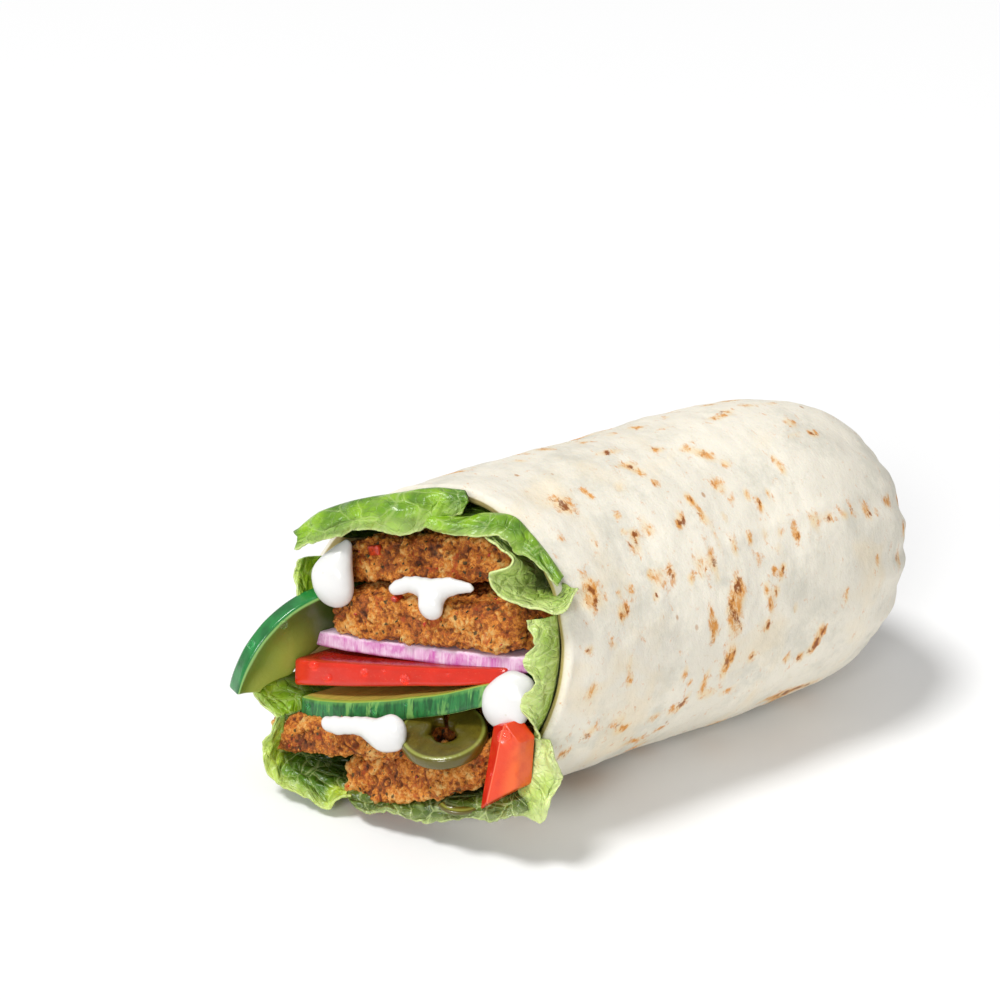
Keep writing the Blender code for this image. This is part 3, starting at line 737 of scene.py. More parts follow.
def paint_cucumber(peel, stripe, flesh):
    paint = Paint("cucumber_slice", Roughness=0.3, Coat_Weight=0.3, Coat_Roughness=0.1, Subsurface_Weight=0.08,
                  Subsurface_Radius=(0.6, 1.0, 0.3), Subsurface_Scale=0.0015)
    slice_map = paint.map_of("slice")
    place = paint.place()
    height = paint.part_of(slice_map, 1)
    behind = paint.part_of(slice_map, 2)
    bands = paint.cloud(paint.map_of("slice", (3.4, 9.0, 1000.0)), 1.0, 4.0, 0.62, 0.3)
    lines = paint.cloud(paint.map_of("slice", (0.9, 2.4, 1000.0)), 1.0, 4.0, 0.65, 0.5)
    base = paint.mix(paint.step(lines, 0.36, 0.62), shade(0.42, peel), peel)
    base = paint.mix(paint.step(bands * 0.8 + lines * 0.2, 0.54, 0.60) * 0.85, base, stripe)
    base = paint.mix(paint.step(height + (lines - 0.5) * 0.8, 0.45, 0.85) * 0.35, base, stripe)
    cut = paint.step(height, 0.84, 0.96)
    seeds = paint.cells(paint.map_of("slice", (2.0, 1000.0, 3.2)), 1.0)
    # The top cut face is orange yellow: painted shade with a painted reflection of the tomato above it
    pulp = paint.mix(paint.step(seeds, 0.3, 0.5) * 0.35, flesh, shade(1.25, flesh))
    rind = paint.mix(paint.step(behind, 0.7, 1.7), (0.30, 0.42, 0.06), pulp)
    base = paint.mix(cut, base, rind)
    base = paint.mix(paint.step(height, -0.9, -0.99), base, (0.34, 0.50, 0.14))
    paint.feed(Base_Color=base, Roughness=0.34 - cut * 0.16)
    paint.bump((paint.cloud(place, 0.8, 3.0), 0.10), (bands, 0.2))
    return paint.material


# Peppers


STRIP_CENTRE = (-63.7, 15.4)
STRIP_SIDE = 24.0
STRIP_RADIUS = 23.4
STRIP_DEPTH = 12.0
STRIP_THICK = 4.2
STRIP_LENGTH = 40.0
STRIP_ANGLES = (math.radians(84.0), math.radians(167.5))

# The wedge: its place (s, t), its sizes along X, s and t, and how far its front stands out
WEDGE_PLACE = (24.4, -19.2)
WEDGE_SIZE = (3.8, 7.4, 14.7)
WEDGE_REACH = 5.9
# The fold down its front: depth and rounding, its place at mid height, and how that moves with each mm of height
WEDGE_RIDGE = 2.2
RIDGE_ROUND = 0.04
RIDGE_PLACE = 0.12
RIDGE_LEAN = 0.035
# How the wedge leans, how its lower end slopes, and the corner cut off its top: depth and start across
WEDGE_LEAN = 0.09
WEDGE_SLOPE = 1.5
WEDGE_TAPER = 0.10
CORNER_CUT = 4.2
CORNER_START = 0.45


def make_green_pepper(look):
    """A strip of a large pepper: an arc about the Y direction that narrows to its tip."""
    bm = box_grid(70, 10, 20)
    skin = bm.verts.layers.float_vector.new("strip")
    start, end = STRIP_ANGLES
    for vert in bm.verts:
        local = rounded(vert.co, (0.5 * STRIP_LENGTH, 0.5 * STRIP_THICK, 0.5 * STRIP_DEPTH), 0.7)
        share = local.x / STRIP_LENGTH + 0.5
        angle = start + (end - start) * share
        taper = 1.0 - 0.55 * smooth_step(0.75, 1.0, share)
        from_skin = 0.5 * STRIP_DEPTH - local.z
        wave = 0.22 * math.sin(share * 11.0) * smooth_step(1.0, 6.0, from_skin)
        radius = STRIP_RADIUS - from_skin * taper + wave + 0.12 * lumps((share * 20.0, local.y, local.z), 3.0, 2)
        dish = 0.35 * smooth_step(1.0, 4.5, from_skin) * (1.0 if local.y < 0.0 else 0.0)
        vert[skin] = (share * 36.0, local.y, from_skin)
        vert.co = (STRIP_CENTRE[0] + radius * math.cos(angle), STRIP_SIDE + local.y + share + dish,
                   STRIP_CENTRE[1] + radius * math.sin(angle))
    place_piece("green_pepper_strip", bm, look, ("green_pepper",))


def paint_green_pepper(skin, flesh):
    paint = Paint("green_pepper_flesh", Roughness=0.2, Coat_Weight=0.5, Coat_Roughness=0.08, Subsurface_Weight=0.1,
                  Subsurface_Radius=(0.5, 1.0, 0.2), Subsurface_Scale=0.0015)
    strip = paint.map_of("strip")
    place = paint.place()
    depth = paint.part_of(strip, 2)
    along = paint.part_of(strip, 0)
    soft = paint.cloud(place, 4.0, 3.0)
    outer = paint.mix(paint.step(soft, 0.35, 0.65), shade(0.6, skin), skin)
    wall = paint.mix(paint.step(depth, 1.0, 8.0), (0.12, 0.20, 0.02), (0.34, 0.42, 0.06))
    # The cut sides darken towards the end that runs into the roll: painted shade
    wall = paint.mix(paint.step(along, 24.0, 4.0), wall, shade(0.3, flesh))
    base = paint.mix(paint.step(depth, 0.30, 0.62), outer, (0.30, 0.58, 0.14))
    base = paint.mix(paint.step(depth, 0.72, 1.25), base, wall)
    paint.feed(Base_Color=base, Roughness=0.2 + paint.step(depth, 0.4, 1.0) * 0.18)
    paint.bump((paint.cloud(place, 0.9, 3.0), 0.08))
    return paint.material


def make_red_pepper(look):
    """A wedge of red pepper standing at the right of the cut, with a ridge down its front."""
    bm = box_grid(10, 34, 46)
    kept = bm.verts.layers.float_vector.new("wedge")
    half_sizes = [0.5 * size for size in WEDGE_SIZE]
    for vert in bm.verts:
        local = rounded(vert.co, half_sizes, 0.45)
        side = local.y / half_sizes[1]
        fold = RIDGE_PLACE + RIDGE_LEAN * local.z
        corner = max(0.0, (side - CORNER_START) / (1.0 - CORNER_START)) * max(0.0, local.z / half_sizes[2])
        s = WEDGE_PLACE[0] + local.y + WEDGE_LEAN * local.z
        t = WEDGE_PLACE[1] + local.z + side * (WEDGE_SLOPE - WEDGE_TAPER * local.z) - CORNER_CUT * corner
        y, z = section_point(s, t)
        ridge = math.hypot(side - fold, RIDGE_ROUND)
        x = cut_x(y, z) - WEDGE_REACH + local.x + WEDGE_RIDGE * ridge + 0.15 * lumps((s, t, 0.0), 4.0, 6)
        vert[kept] = (side - fold, local.z, local.x)
        vert.co = (x, y, z)
    place_piece("red_pepper_wedge", bm, look, ("red_pepper",))


def paint_red_pepper(skin, flesh):
    paint = Paint("red_pepper_flesh", Roughness=0.26, Coat_Weight=0.25, Coat_Roughness=0.10, Subsurface_Weight=0.06,
                  Subsurface_Radius=(1.0, 0.25, 0.12), Subsurface_Scale=0.0015)
    wedge = paint.map_of("wedge")
    place = paint.place()
    side = paint.part_of(wedge, 0)
    right = paint.step(side, -0.02, 0.03)
    base = paint.mix(right, skin, flesh)
    # A pale line down the fold: a painted highlight on the ridge
    line = paint.step(side, -0.05, 0.0) * paint.step(side, 0.06, 0.01)
    base = paint.mix(line * 0.6, base, (0.85, 0.22, 0.09))
    base = paint.mix(paint.step(side, 0.3, 0.9) * 0.5, base, (0.93, 0.20, 0.03))
    base = paint.mix(paint.step(paint.cloud(place, 2.5, 3.0), 0.5, 0.7) * 0.3, base, (0.60, 0.02, 0.008))
    paint.feed(Base_Color=base)
    paint.bump((paint.cloud(place, 0.7, 3.0), 0.07), (paint.cloud(place, 3.0, 2.0), 0.2))
    return paint.material


RING_SIDES = 20
RINGS = {
    "pickled_ring": {
        "node": "pickle_ring", "place": (11.4, -15.0, 6.0), "radius": 9.1, "hole": 2.9, "thick": 3.0,
        "normal": (-0.19, -0.03, 0.97), "gap": 0.30, "start": 1.00, "steps": 120,
    },
    "pickled_ring_under": {
        "node": "pickle_under", "place": (13.9, -27.2, 3.4), "radius": 5.6, "hole": 3.8, "thick": 0.8,
        "normal": (-0.10, -0.06, 0.99), "gap": 4.2, "start": 3.1, "steps": 40,
    },
}


def square_wave(value):
    """A cosine or sine with fuller shoulders, which makes a circle a square with round corners."""
    return math.copysign(abs(value) ** 0.5, value)


def make_ring(name, look):
    """A slice of a small pepper: a ring cut open on one side, its inner wall uneven."""
    ring = RINGS[name]
    radius, hole = ring["radius"], ring["hole"]
    bm = bmesh.new()
    verts = []
    for step in range(RING_SIDES):
        turn = math.tau * step / RING_SIDES + math.pi / RING_SIDES
        distance = 0.5 * (radius + hole) + 0.5 * (radius - hole) * square_wave(math.cos(turn))
        verts.append(bm.verts.new((distance, 0.0, 0.5 * ring["thick"] * square_wave(math.sin(turn)))))
    face = bm.faces.new(verts)
    bmesh.ops.spin(bm, geom=[face] + list(face.edges) + verts, cent=(0.0, 0.0, 0.0), axis=(0.0, 0.0, 1.0),
                   angle=math.tau - ring["gap"], steps=ring["steps"])
    kept = bm.verts.layers.float_vector.new("ring")
    facing = Vector((0.0, 0.0, 1.0)).rotation_difference(Vector(ring["normal"]).normalized())
    s, t, reach = ring["place"]
    y, z = section_point(s, t)
    x = cut_x(y, z) - reach
    for vert in bm.verts:
        angle = math.atan2(vert.co.y, vert.co.x)
        flat = math.hypot(vert.co.x, vert.co.y)
        from_skin = radius - flat
        inner = smooth_step(0.45, 1.0, from_skin / (radius - hole))
        uneven = inner * (0.45 * math.sin(2.0 * angle + 1.0) + 0.22 * math.sin(5.0 * angle))
        distance = (flat + uneven) * (1.0 + 0.05 * math.sin(2.0 * angle + 0.7))
        bent = angle + ring["start"]
        vert[kept] = (angle, from_skin, vert.co.z)
        dish = 0.25 * math.sin(3.0 * angle) * inner
        vert.co = Vector((distance * math.cos(bent), distance * math.sin(bent), vert.co.z + dish))
        vert.co.rotate(facing)
        vert.co += Vector((x, y, z))
    place_piece(name, bm, look, (ring["node"],))


def paint_pickle(skin, flesh):
    paint = Paint("pickled_pepper_flesh", Roughness=0.28, Coat_Weight=0.4, Coat_Roughness=0.12,
                  Subsurface_Weight=0.08, Subsurface_Radius=(0.8, 1.0, 0.2), Subsurface_Scale=0.001)
    ring = paint.map_of("ring")
    place = paint.place()
    depth = paint.part_of(ring, 1)
    soft = paint.cloud(place, 2.2, 3.0, 0.6)
    wall = paint.mix(paint.step(soft, 0.35, 0.65), shade(0.65, flesh), flesh)
    wall = paint.mix(paint.step(depth, 1.2, 4.6) * 0.5, wall, shade(0.55, flesh))
    base = paint.mix(paint.step(depth, 0.25, 0.6), skin, (0.28, 0.30, 0.05))
    base = paint.mix(paint.step(depth, 0.7, 1.3), base, wall)
    paint.feed(Base_Color=base)
    paint.bump((paint.cloud(place, 0.8, 3.0), 0.12))
    return paint.material


# Sauce


SAUCE_VOXEL = 0.42
SAUCE_FLATNESS = 0.55
SAUCE_ROUNDS = 14
SAUCE_SWELL = 0.24
# Each dollop is blobs of (s, t, reach, radius) run together
SAUCES = {
    "sauce_left": (
        (-14.1, 21.6, 5.2, 1.3), (-14.5, 20.2, 5.7, 2.1), (-14.9, 18.5, 6.2, 3.0), (-15.3, 16.7, 6.7, 4.0),
        (-15.6, 14.9, 7.0, 4.8), (-15.4, 13.6, 7.0, 4.6),
    ),
    "sauce_middle": (
        (-1.5, 12.9, 6.0, 1.4), (-0.1, 13.4, 5.9, 1.8), (1.8, 13.9, 5.8, 1.9), (4.1, 13.6, 5.9, 2.2),
        (6.5, 13.0, 6.1, 2.6), (7.8, 11.4, 6.4, 2.7), (8.2, 9.7, 6.9, 2.7), (9.2, 13.1, 6.0, 2.4),
        (11.4, 13.5, 5.7, 2.1), (13.4, 13.4, 5.3, 1.6), (15.0, 13.1, 4.9, 1.2),
    ),
    "sauce_right": (
        (24.6, -5.4, 3.4, 3.0), (26.0, -5.8, 3.0, 2.6), (23.9, -7.0, 3.8, 4.0), (23.0, -8.8, 4.1, 4.6),
        (22.6, -10.2, 4.3, 4.1), (25.0, -8.8, 3.7, 3.6), (23.9, -11.2, 4.2, 3.5),
    ),
    "sauce_low": (
        (-8.6, -12.0, 13.3, 1.9), (-6.4, -12.1, 13.4, 2.2), (-3.8, -11.9, 13.4, 2.1), (-1.2, -11.9, 13.4, 2.2),
        (1.2, -12.2, 13.5, 2.6), (3.2, -12.8, 13.7, 3.1), (5.0, -13.3, 13.8, 3.6), (6.4, -13.0, 13.7, 3.7),
        (7.2, -11.7, 13.5, 2.9),
    ),
}


def make_sauce(name, look):
    bm = bmesh.new()
    for s, t, reach, radius in SAUCES[name]:
        y, z = section_point(s, t)
        x = cut_x(y, z) - reach
        ball = bmesh.ops.create_icosphere(bm, subdivisions=3, radius=radius)
        for vert in ball["verts"]:
            offset = vert.co.copy()
            vert.co = Vector((x + offset.x * SAUCE_FLATNESS + CUT_SIDE * offset.y, y + offset.y, z + offset.z))
    bm = remeshed(bm, SAUCE_VOXEL)
    for _ in range(SAUCE_ROUNDS):
        bmesh.ops.smooth_vert(bm, verts=bm.verts, factor=0.6, use_axis_x=True, use_axis_y=True, use_axis_z=True)
    bm.normal_update()
    for vert in bm.verts:
        vert.co += vert.normal * SAUCE_SWELL
    place_piece(name + "_dollop", bm, look, (name,))


def paint_sauce(white):
    paint = Paint("white_sauce", Roughness=0.25, Coat_Weight=0.4, Coat_Roughness=0.10, Subsurface_Weight=0.12,
                  Subsurface_Radius=(1.0, 0.95, 0.85), Subsurface_Scale=0.001)
    place = paint.place()
    speck = paint.step(paint.cells(place, 2.6), 0.12, 0.07)
    base = paint.mix(speck * 0.35, white, (0.62, 0.60, 0.45))
    paint.feed(Base_Color=base)
    paint.bump((paint.cloud(place, 3.0, 2.0), 0.12))
    return paint.material


# Lettuce


# Each leaf: how high its frill stands, its waves, how torn its edge is, how crinkled it is, and three rows of points
# (y, z, reach) from the cut to its free edge
LEAVES = {
    "top_left": {
        "ruffle": 0.7, "waves": 2.0, "jag": 0.9, "crinkle": 0.75, "seed": 1,
        "rows": (
            ((29.6, 50.4, 8), (25.4, 55.5, 7), (18.7, 59.4, 6), (10.7, 62.7, 5), (4.5, 65.0, 3.5),
             (-0.7, 65.4, 1.5)),
            ((26.9, 50.3, 10.5), (20.9, 54.9, 10.5), (13.5, 58.9, 10), (5.5, 62, 9), (0.2, 64.5, 6.5),
             (-3.7, 64.9, 3.5)),
            ((26.5, 48.5, 10.5), (20.3, 51.4, 10), (13.8, 54.9, 9), (5.9, 56.6, 7), (-0.5, 59.3, 5.5),
             (-3.6, 62.4, 4)),
        ),
    },
    "top": {
        "ruffle": 0.8, "waves": 2.0, "jag": 0.8, "crinkle": 0.5, "seed": 2,
        "rows": (
            ((1.2, 61.1, 5), (-4.4, 61.5, 4), (-6.9, 62.8, 2.4), (-12.0, 63.3, 0.8), (-16.4, 61.0, 0.2),
             (-20.6, 58.2, -0.3), (-25.2, 55.0, -0.5)),
            ((-0.1, 61.0, 8), (-5.3, 61.0, 7), (-9.9, 62.4, 5.4), (-14.3, 62.4, 3.8), (-17.8, 60.2, 2.8),
             (-21.6, 57.7, 2.0), (-26.4, 54.6, 1.5)),
            ((0.4, 59.6, 8), (-3.1, 59.0, 7), (-8.2, 59.5, 6.5), (-14.5, 60.6, 5), (-17.5, 58.9, 4),
             (-21.8, 57.0, 2.6), (-26.9, 54.0, 1.9)),
        ),
    },
    "cup": {
        "ruffle": 0.7, "waves": 2.4, "jag": 1.0, "crinkle": 0.35, "seed": 3,
        "rows": (
            ((-10.7, 58.5, -2), (-12.9, 54.4, -5), (-13.6, 51.9, -8), (-14.2, 49.8, -9), (-15.2, 48.9, -9),
             (-16.9, 48.9, -8), (-19.4, 49.3, -6), (-22.8, 51.5, -3), (-25.1, 53.7, -1)),
            ((-11.1, 59.7, 2), (-14.9, 57.2, 1), (-17.6, 55.3, 1), (-18.6, 53, 1), (-20.1, 51.3, 1),
             (-22.4, 50.6, 1), (-25, 51, 1), (-26.9, 52.2, 0.6), (-28.0, 54.0, 0.2)),
            ((-10.2, 60.8, 5), (-16.7, 60, 6.5), (-19.3, 58, 7.5), (-18.2, 55.8, 9.5), (-20.8, 52.8, 9),
             (-24.5, 51, 7.5), (-28.3, 50.7, 5.5), (-30.6, 52, 3.6), (-31.8, 55.2, 2.4)),
        ),
    },
    "right": {
        "ruffle": 0.8, "waves": 2.6, "jag": 1.1, "crinkle": 0.55, "seed": 4,
        "rows": (
            ((-26.6, 48.3, 0.6), (-28.2, 44.6, 0.4), (-29.5, 40.6, 0.4), (-30.2, 36.5, 0.3), (-30.6, 32.2, 0.3),
             (-30.3, 28.8, 0.3), (-29.6, 25.4, 0.3)),
            ((-27.2, 48.7, 4), (-29.0, 44.9, 4), (-29.8, 41, 4.4), (-31.0, 37.2, 4), (-31.2, 33.2, 4),
             (-31.2, 29.4, 3), (-30.9, 25.6, 1.7)),
            ((-25.9, 48.6, 6.5), (-28.5, 44.8, 6.5), (-28.9, 41.3, 7.7), (-30.4, 37.9, 6), (-29.8, 33.9, 7),
             (-31.2, 29.8, 4.7), (-32.2, 25.8, 2.8)),
        ),
    },
    "bottom_right": {
        "ruffle": 1.1, "waves": 2.2, "jag": 1.2, "crinkle": 0.7, "seed": 6,
        "rows": (
            ((-30.2, 25.4, 0.9), (-31.2, 22.6, 0.9), (-31.6, 19.7, 1.1), (-31.6, 16.8, 1.4), (-31.2, 14.9, 2.2)),
            ((-33.2, 26.0, 1.5), (-35.0, 22.4, 1.5), (-35.8, 18.2, 1.5), (-35.4, 14.8, 2.0), (-32.7, 13.0, 3.0)),
            ((-34.6, 25.5, 1.5), (-37.2, 22.3, 1.5), (-37.9, 16.9, 1.2), (-37.2, 10.8, 1.8), (-32.9, 11.4, 3.5)),
        ),
    },
    "bottom": {
        "ruffle": 0.9, "waves": 3.0, "jag": 1.0, "crinkle": 0.8, "seed": 7,
        "rows": (
            ((1.5, 4.4, 7), (-6.2, 5.6, 5), (-14.3, 8.1, 4), (-22.2, 10.8, 3), (-29.4, 14.0, 3), (-31.0, 15.2, 2)),
            ((-1.6, 3.4, 9), (-9.0, 5.2, 7.5), (-17.2, 6.9, 6.5), (-24.6, 9.9, 5.5), (-31.4, 12.7, 4.6),
             (-34.4, 14.4, 3.2)),
            ((-4.6, 3.4, 10), (-11.3, 4.7, 9), (-18.1, 5.1, 7), (-25.2, 8.6, 6.5), (-31.9, 10.8, 5.8),
             (-35.6, 13.1, 3.8)),
        ),
    },
    "bottom_left": {
        "ruffle": 0.8, "waves": 2.2, "jag": 0.9, "crinkle": 0.9, "seed": 8,
        "rows": (
            ((17.6, 15.9, 9), (18.5, 10.2, 8), (16.9, 6.8, 7), (13.6, 4.9, 6), (9.1, 4.1, 5), (4.3, 4.1, 4)),
            ((17.4, 16.0, 12), (17.9, 10.2, 12), (15.7, 5.9, 11), (11.4, 3.9, 10), (5.7, 3.3, 9), (0.9, 3.6, 7)),
            ((17.7, 15.8, 13.5), (17.9, 10.1, 14.5), (13.5, 3.4, 13.5), (7.2, 3.0, 13), (0.8, 3.0, 12),
             (-2.7, 4.2, 10)),
        ),
    },
    "left": {
        "ruffle": 0.5, "waves": 0.8, "jag": 0.6, "crinkle": 0.5, "seed": 9,
        "rows": (
            ((26.6, 19.7, 9), (24.0, 18.1, 8), (21.1, 16.7, 7), (19.5, 14.3, 6)),
            ((25.9, 19.9, 12), (23.5, 17.4, 11), (21.0, 16.3, 10), (18.5, 15.1, 9)),
            ((26.4, 19.3, 13.5), (22.7, 17.4, 13), (18.8, 15.6, 12.5), (17.5, 14.3, 11)),
        ),
    },
    "left_top": {
        "ruffle": 0.5, "waves": 0.8, "jag": 0.7, "crinkle": 0.5, "seed": 10,
        "rows": (
            ((29.2, 43.8, 2), (28.5, 41.2, 3), (27.2, 37.3, 3), (25.1, 35.0, 3)),
            ((28.2, 44.8, 6), (27.9, 41.7, 6), (26.8, 38.2, 6), (25.6, 35.3, 5)),
            ((27.7, 44.8, 8), (28.1, 41.9, 8), (26.9, 39.1, 8), (25.8, 36.4, 7)),
        ),
    },
}
LEAF_TONES = {
    "top_left": "fresh", "top": "fresh", "cup": "pale", "right": "pale", "bottom_right": "light", "bottom": "dark",
    "bottom_left": "deep", "left": "lime", "left_top": "lime",
}
# Each tone: its shaded and its main colour, how much its veins show, how far apart they are, how pale its rim is and
# how dark painted shade makes its heart, near the roll
LEAF_LOOKS = {
    "fresh": ("fresh_deep", "fresh", 0.2, 5.6, 0.6, 0.0),
    "pale": ("pale_deep", "pale", 0.6, 3.4, 0.6, 0.0),
    "light": ("light_deep", "light", 0.4, 4.5, 0.6, 0.0),
    "lime": ("fresh", "lime", 0.3, 5.0, 0.6, 0.0),
    "deep": ("fresh_deep", "lime", 0.3, 5.0, 0.2, 0.75),
    # The dark tone is a deeper leaf green darkened further as painted shade on the leaves underneath
    "dark": ("dark_deep", "dark", 0.5, 4.2, 0.35, 0.0),
}

# The radius at which a leaf runs back into the roll, how far in it starts, and the share of its net that is inside
LEAF_RADIUS = 29.5
LEAF_TUCK = 22.0
LEAF_NECK = 4.0
ROOT_SHARE = 0.22
LEAF_CELLS = (96, 72)
LOWEST_LEAF = 0.7


def spline(points, share):
    """A point of the smooth line through evenly numbered points; beyond its end the line runs straight on."""
    last = len(points) - 1
    place = min(share, 1.0) * last
    first = min(int(place), last - 1)
    local = place - first
    before = points[max(0, first - 1)] if first > 0 else 2.0 * points[0] - points[1]
    a, b = points[first], points[first + 1]
    after = points[first + 2] if first + 2 <= last else 2.0 * points[last] - points[last - 1]
    return 0.5 * (
        2.0 * a + (b - before) * local + (2.0 * before - 5.0 * a + 4.0 * b - after) * local ** 2
        + (3.0 * a - before - 3.0 * b + after) * local ** 3
    )


def leaf_rows(rows):
    """The net of a leaf as points, from its root deep in the roll to its free edge."""
    root = []
    neck = []
    for y, z, reach in rows[0]:
        height = z - AXIS_HEIGHT
        radius = math.hypot(y, height)
        for line, kept, back in ((root, LEAF_RADIUS, LEAF_TUCK),
                                 (neck, min(radius, LEAF_RADIUS), LEAF_NECK - 0.3 * min(reach, 0.0))):
            line_y, line_z = y * kept / radius, AXIS_HEIGHT + height * kept / radius
            line.append(Vector((cut_x(line_y, line_z) + back, line_y, line_z)))
    shown = [[Vector((cut_x(y, z) - reach, y, z)) for y, z, reach in row] for row in rows]
    return [root, neck] + shown


def leaf_mesh(rows, ruffle, waves, jag, crinkle, seed):
    """A leaf through its net, with a frilled free edge and the swellings between its veins."""
    bm = bmesh.new()
    bmesh.ops.create_grid(bm, x_segments=LEAF_CELLS[0], y_segments=LEAF_CELLS[1], size=1.0)
    kept = bm.verts.layers.float_vector.new("leaf")
    net = leaf_rows(rows)
    width = sum((b - a).length for a, b in zip(net[-1][:-1], net[-1][1:]))
    middle = len(net[-1]) // 2
    spread = (net[4][middle] - net[3][middle]).length + (net[3][middle] - net[2][middle]).length
    parts = len(net) - 1
    phase = seed * 1.7
    shown = {}
    for vert in bm.verts:
        across = 0.5 * (vert.co.x + 1.0)
        step = 0.5 * (vert.co.y + 1.0)
        out = max(0.0, (step - ROOT_SHARE) / (1.0 - ROOT_SHARE))
        along = (2.0 * min(1.0, step / ROOT_SHARE) + out * (parts - 2.0)) / parts
        line = [spline(row, across) for row in net]
        point = spline(line, along)
        tip = line[-1] - line[-2]
        fray = noise.noise(Vector((across * width / 6.5, phase, 0.0)))
        fray += 0.65 * noise.noise(Vector((across * width / 2.3, phase, 3.0)))
        fray += 0.35 * noise.noise(Vector((across * width / 1.1, phase, 6.0)))
        point += tip.normalized() * jag * fray * out ** 3 if tip.length > 0.01 else Vector()
        rise = out * spread if out > 0.0 else (step / ROOT_SHARE - 1.0) * LEAF_TUCK
        vert[kept] = (across * width, rise, out)
        shown[vert] = (across, out)
        vert.co = point
    bm.normal_update()
    moves = []
    for vert in bm.verts:
        across, out = shown[vert]
        frill = math.sin(math.tau * waves * across + phase + 2.2 * out + 1.5 * noise.noise(vert.co / 7.0))
        frill += 0.3 * math.sin(math.tau * waves * 1.7 * across + 2.0 * phase)
        near = noise.voronoi(Vector((across * width / 5.0, out * 2.4, phase)))[0]
        swell = smooth_step(0.0, 0.6, near[1] - near[0])
        soft = noise.noise(vert.co / 6.0)
        puff = crinkle * (0.7 * (swell - 0.5) + 1.2 * soft) * min(1.0, out * 3.0)
        moves.append(vert.normal * (ruffle * frill * out ** 1.6 + puff))
    for vert, move in zip(bm.verts, moves):
        vert.co += move
        vert.co.z = max(vert.co.z, LOWEST_LEAF)
    return bm


def make_leaf(key, look, thickness):
    bm = leaf_mesh(**LEAVES[key])
    leaf = place_piece("lettuce_leaf_" + key, bm, look, ("lettuce_" + key,), recalculate=False)
    solid = leaf.modifiers.new("Thickness", "SOLIDIFY")
    solid.thickness = thickness
    solid.offset = 0.0


def paint_leaf(name, deep, fresh, pale, veined, cell, rim, heart):
    paint = Paint(name, Roughness=0.34, Subsurface_Weight=0.15, Subsurface_Radius=(0.6, 1.0, 0.15),
                  Subsurface_Scale=0.0012, Coat_Weight=0.2, Coat_Roughness=0.15)
    place = paint.place()
    leaf = paint.map_of("leaf")
    rise = paint.part_of(leaf, 1)
    out = paint.part_of(leaf, 2)
    bend = paint.cloud(leaf, 5.0, 2.0)
    bent = paint.node("ShaderNodeVectorMath", {"operation": "ADD"}, {
        0: leaf, 1: paint.node("ShaderNodeCombineXYZ", inputs={0: bend * 3.0, 1: bend * 2.0}),
    })
    net = paint.cells(paint.scaled(bent, (1.0 / cell, 1.1 / cell, 0.0)), 1.0, "DISTANCE_TO_EDGE")
    fine_net = paint.cells(paint.scaled(bent, (2.6 / cell, 2.8 / cell, 0.0)), 1.0, "DISTANCE_TO_EDGE")
    veins = paint.step(net, 0.050, 0.005)
    small_veins = paint.step(fine_net, 0.09, 0.01)
    patches = paint.cloud(place, 8.0, 2.0, 0.5)
    base = paint.mix(paint.step(patches, 0.36, 0.64), deep, fresh)
    base = paint.mix(paint.step(net, 0.06, 0.34) * 0.30, base, shade(0.8, deep))
    base = paint.mix(paint.step(out, 0.50, 1.0) * 0.55, base, tuple(0.5 * (a + b) for a, b in zip(fresh, pale)))
    base = paint.mix(paint.step(out, 0.90, 1.0) * rim, base, pale)
    # Darker at the leaf's inner part, near the roll: painted shade
    base = paint.mix(paint.step(out + (patches - 0.5) * 0.7, 0.50, 0.22) * heart, base,
                     shade(0.35, deep))
    base = paint.mix(small_veins * (0.30 * veined), base, pale)
    base = paint.mix(veins * (0.12 + 0.50 * veined), base, pale)
    # Almost black where the leaf runs back inside the roll: painted shade
    base = paint.mix(paint.step(rise, 0.5, -6.0) * 0.85, base, shade(0.12, deep))
    paint.feed(Base_Color=base)
    puffs = paint.step(net, 0.0, 0.30)
    paint.bump((paint.cloud(place, 3.2, 2.0, 0.5), 0.9), (puffs, 0.45), (small_veins * -1.0, 0.08))
    return paint.material


# Drops, crumbs and bits on the filling


def surface_of(piece_name):
    """A search tree of a finished piece's surface."""
    return BVHTree.FromObject(bpy.data.objects[piece_name], bpy.context.evaluated_depsgraph_get())


def sit(point, normal, shape=(1.0, 1.0, 1.0)):
    """A turn and place for a small thing that sits on a surface."""
    turn = Vector((0.0, 0.0, 1.0)).rotation_difference(normal).to_matrix().to_4x4()
    return Matrix.Translation(point) @ turn @ Matrix.Diagonal((*shape, 1.0))


# Each drop is (piece, place in a picture 1000 wide, radius, stretch)
DROPS = (
    ("tomato_slice", (313.8, 665.0), 0.95, 1.4), ("tomato_slice", (327.2, 677.6), 0.85, 1.4),
    ("tomato_slice", (364.5, 671.8), 0.85, 1.0), ("tomato_slice", (405.1, 679.0), 1.05, 1.0),
    ("tomato_slice", (384.6, 671.0), 0.40, 1.0), ("tomato_slice", (448.0, 674.0), 0.35, 1.0),
    ("cucumber_slice", (374.4, 710.5), 0.80, 1.2), ("cucumber_slice", (405.8, 704.0), 0.45, 1.0),
    ("cucumber_slice", (308.0, 706.0), 0.60, 1.2), ("cucumber_slice", (325.6, 710.7), 0.50, 1.2),
    ("green_pepper_strip", (283.0, 624.5), 0.95, 1.1), ("green_pepper_strip", (252.0, 645.0), 0.95, 1.1),
    ("red_pepper_wedge", (504.5, 736.5), 1.30, 1.2), ("onion_slice", (434.8, 649.5), 0.40, 1.0),
    ("red_pepper_wedge", (492.0, 775.0), 0.35, 1.0),
)
DROP_HEIGHT = 0.80
DROP_SINK = 0.10


def sight(pixel):
    """The way from the camera through a place of its picture."""
    forward, right, up = camera_axes()
    side, rise = (SENSOR_WIDTH / CAMERA_LENS * (value / PICTURE_WIDTH - 0.5) for value in pixel)
    return (forward + right * side - up * rise).normalized()


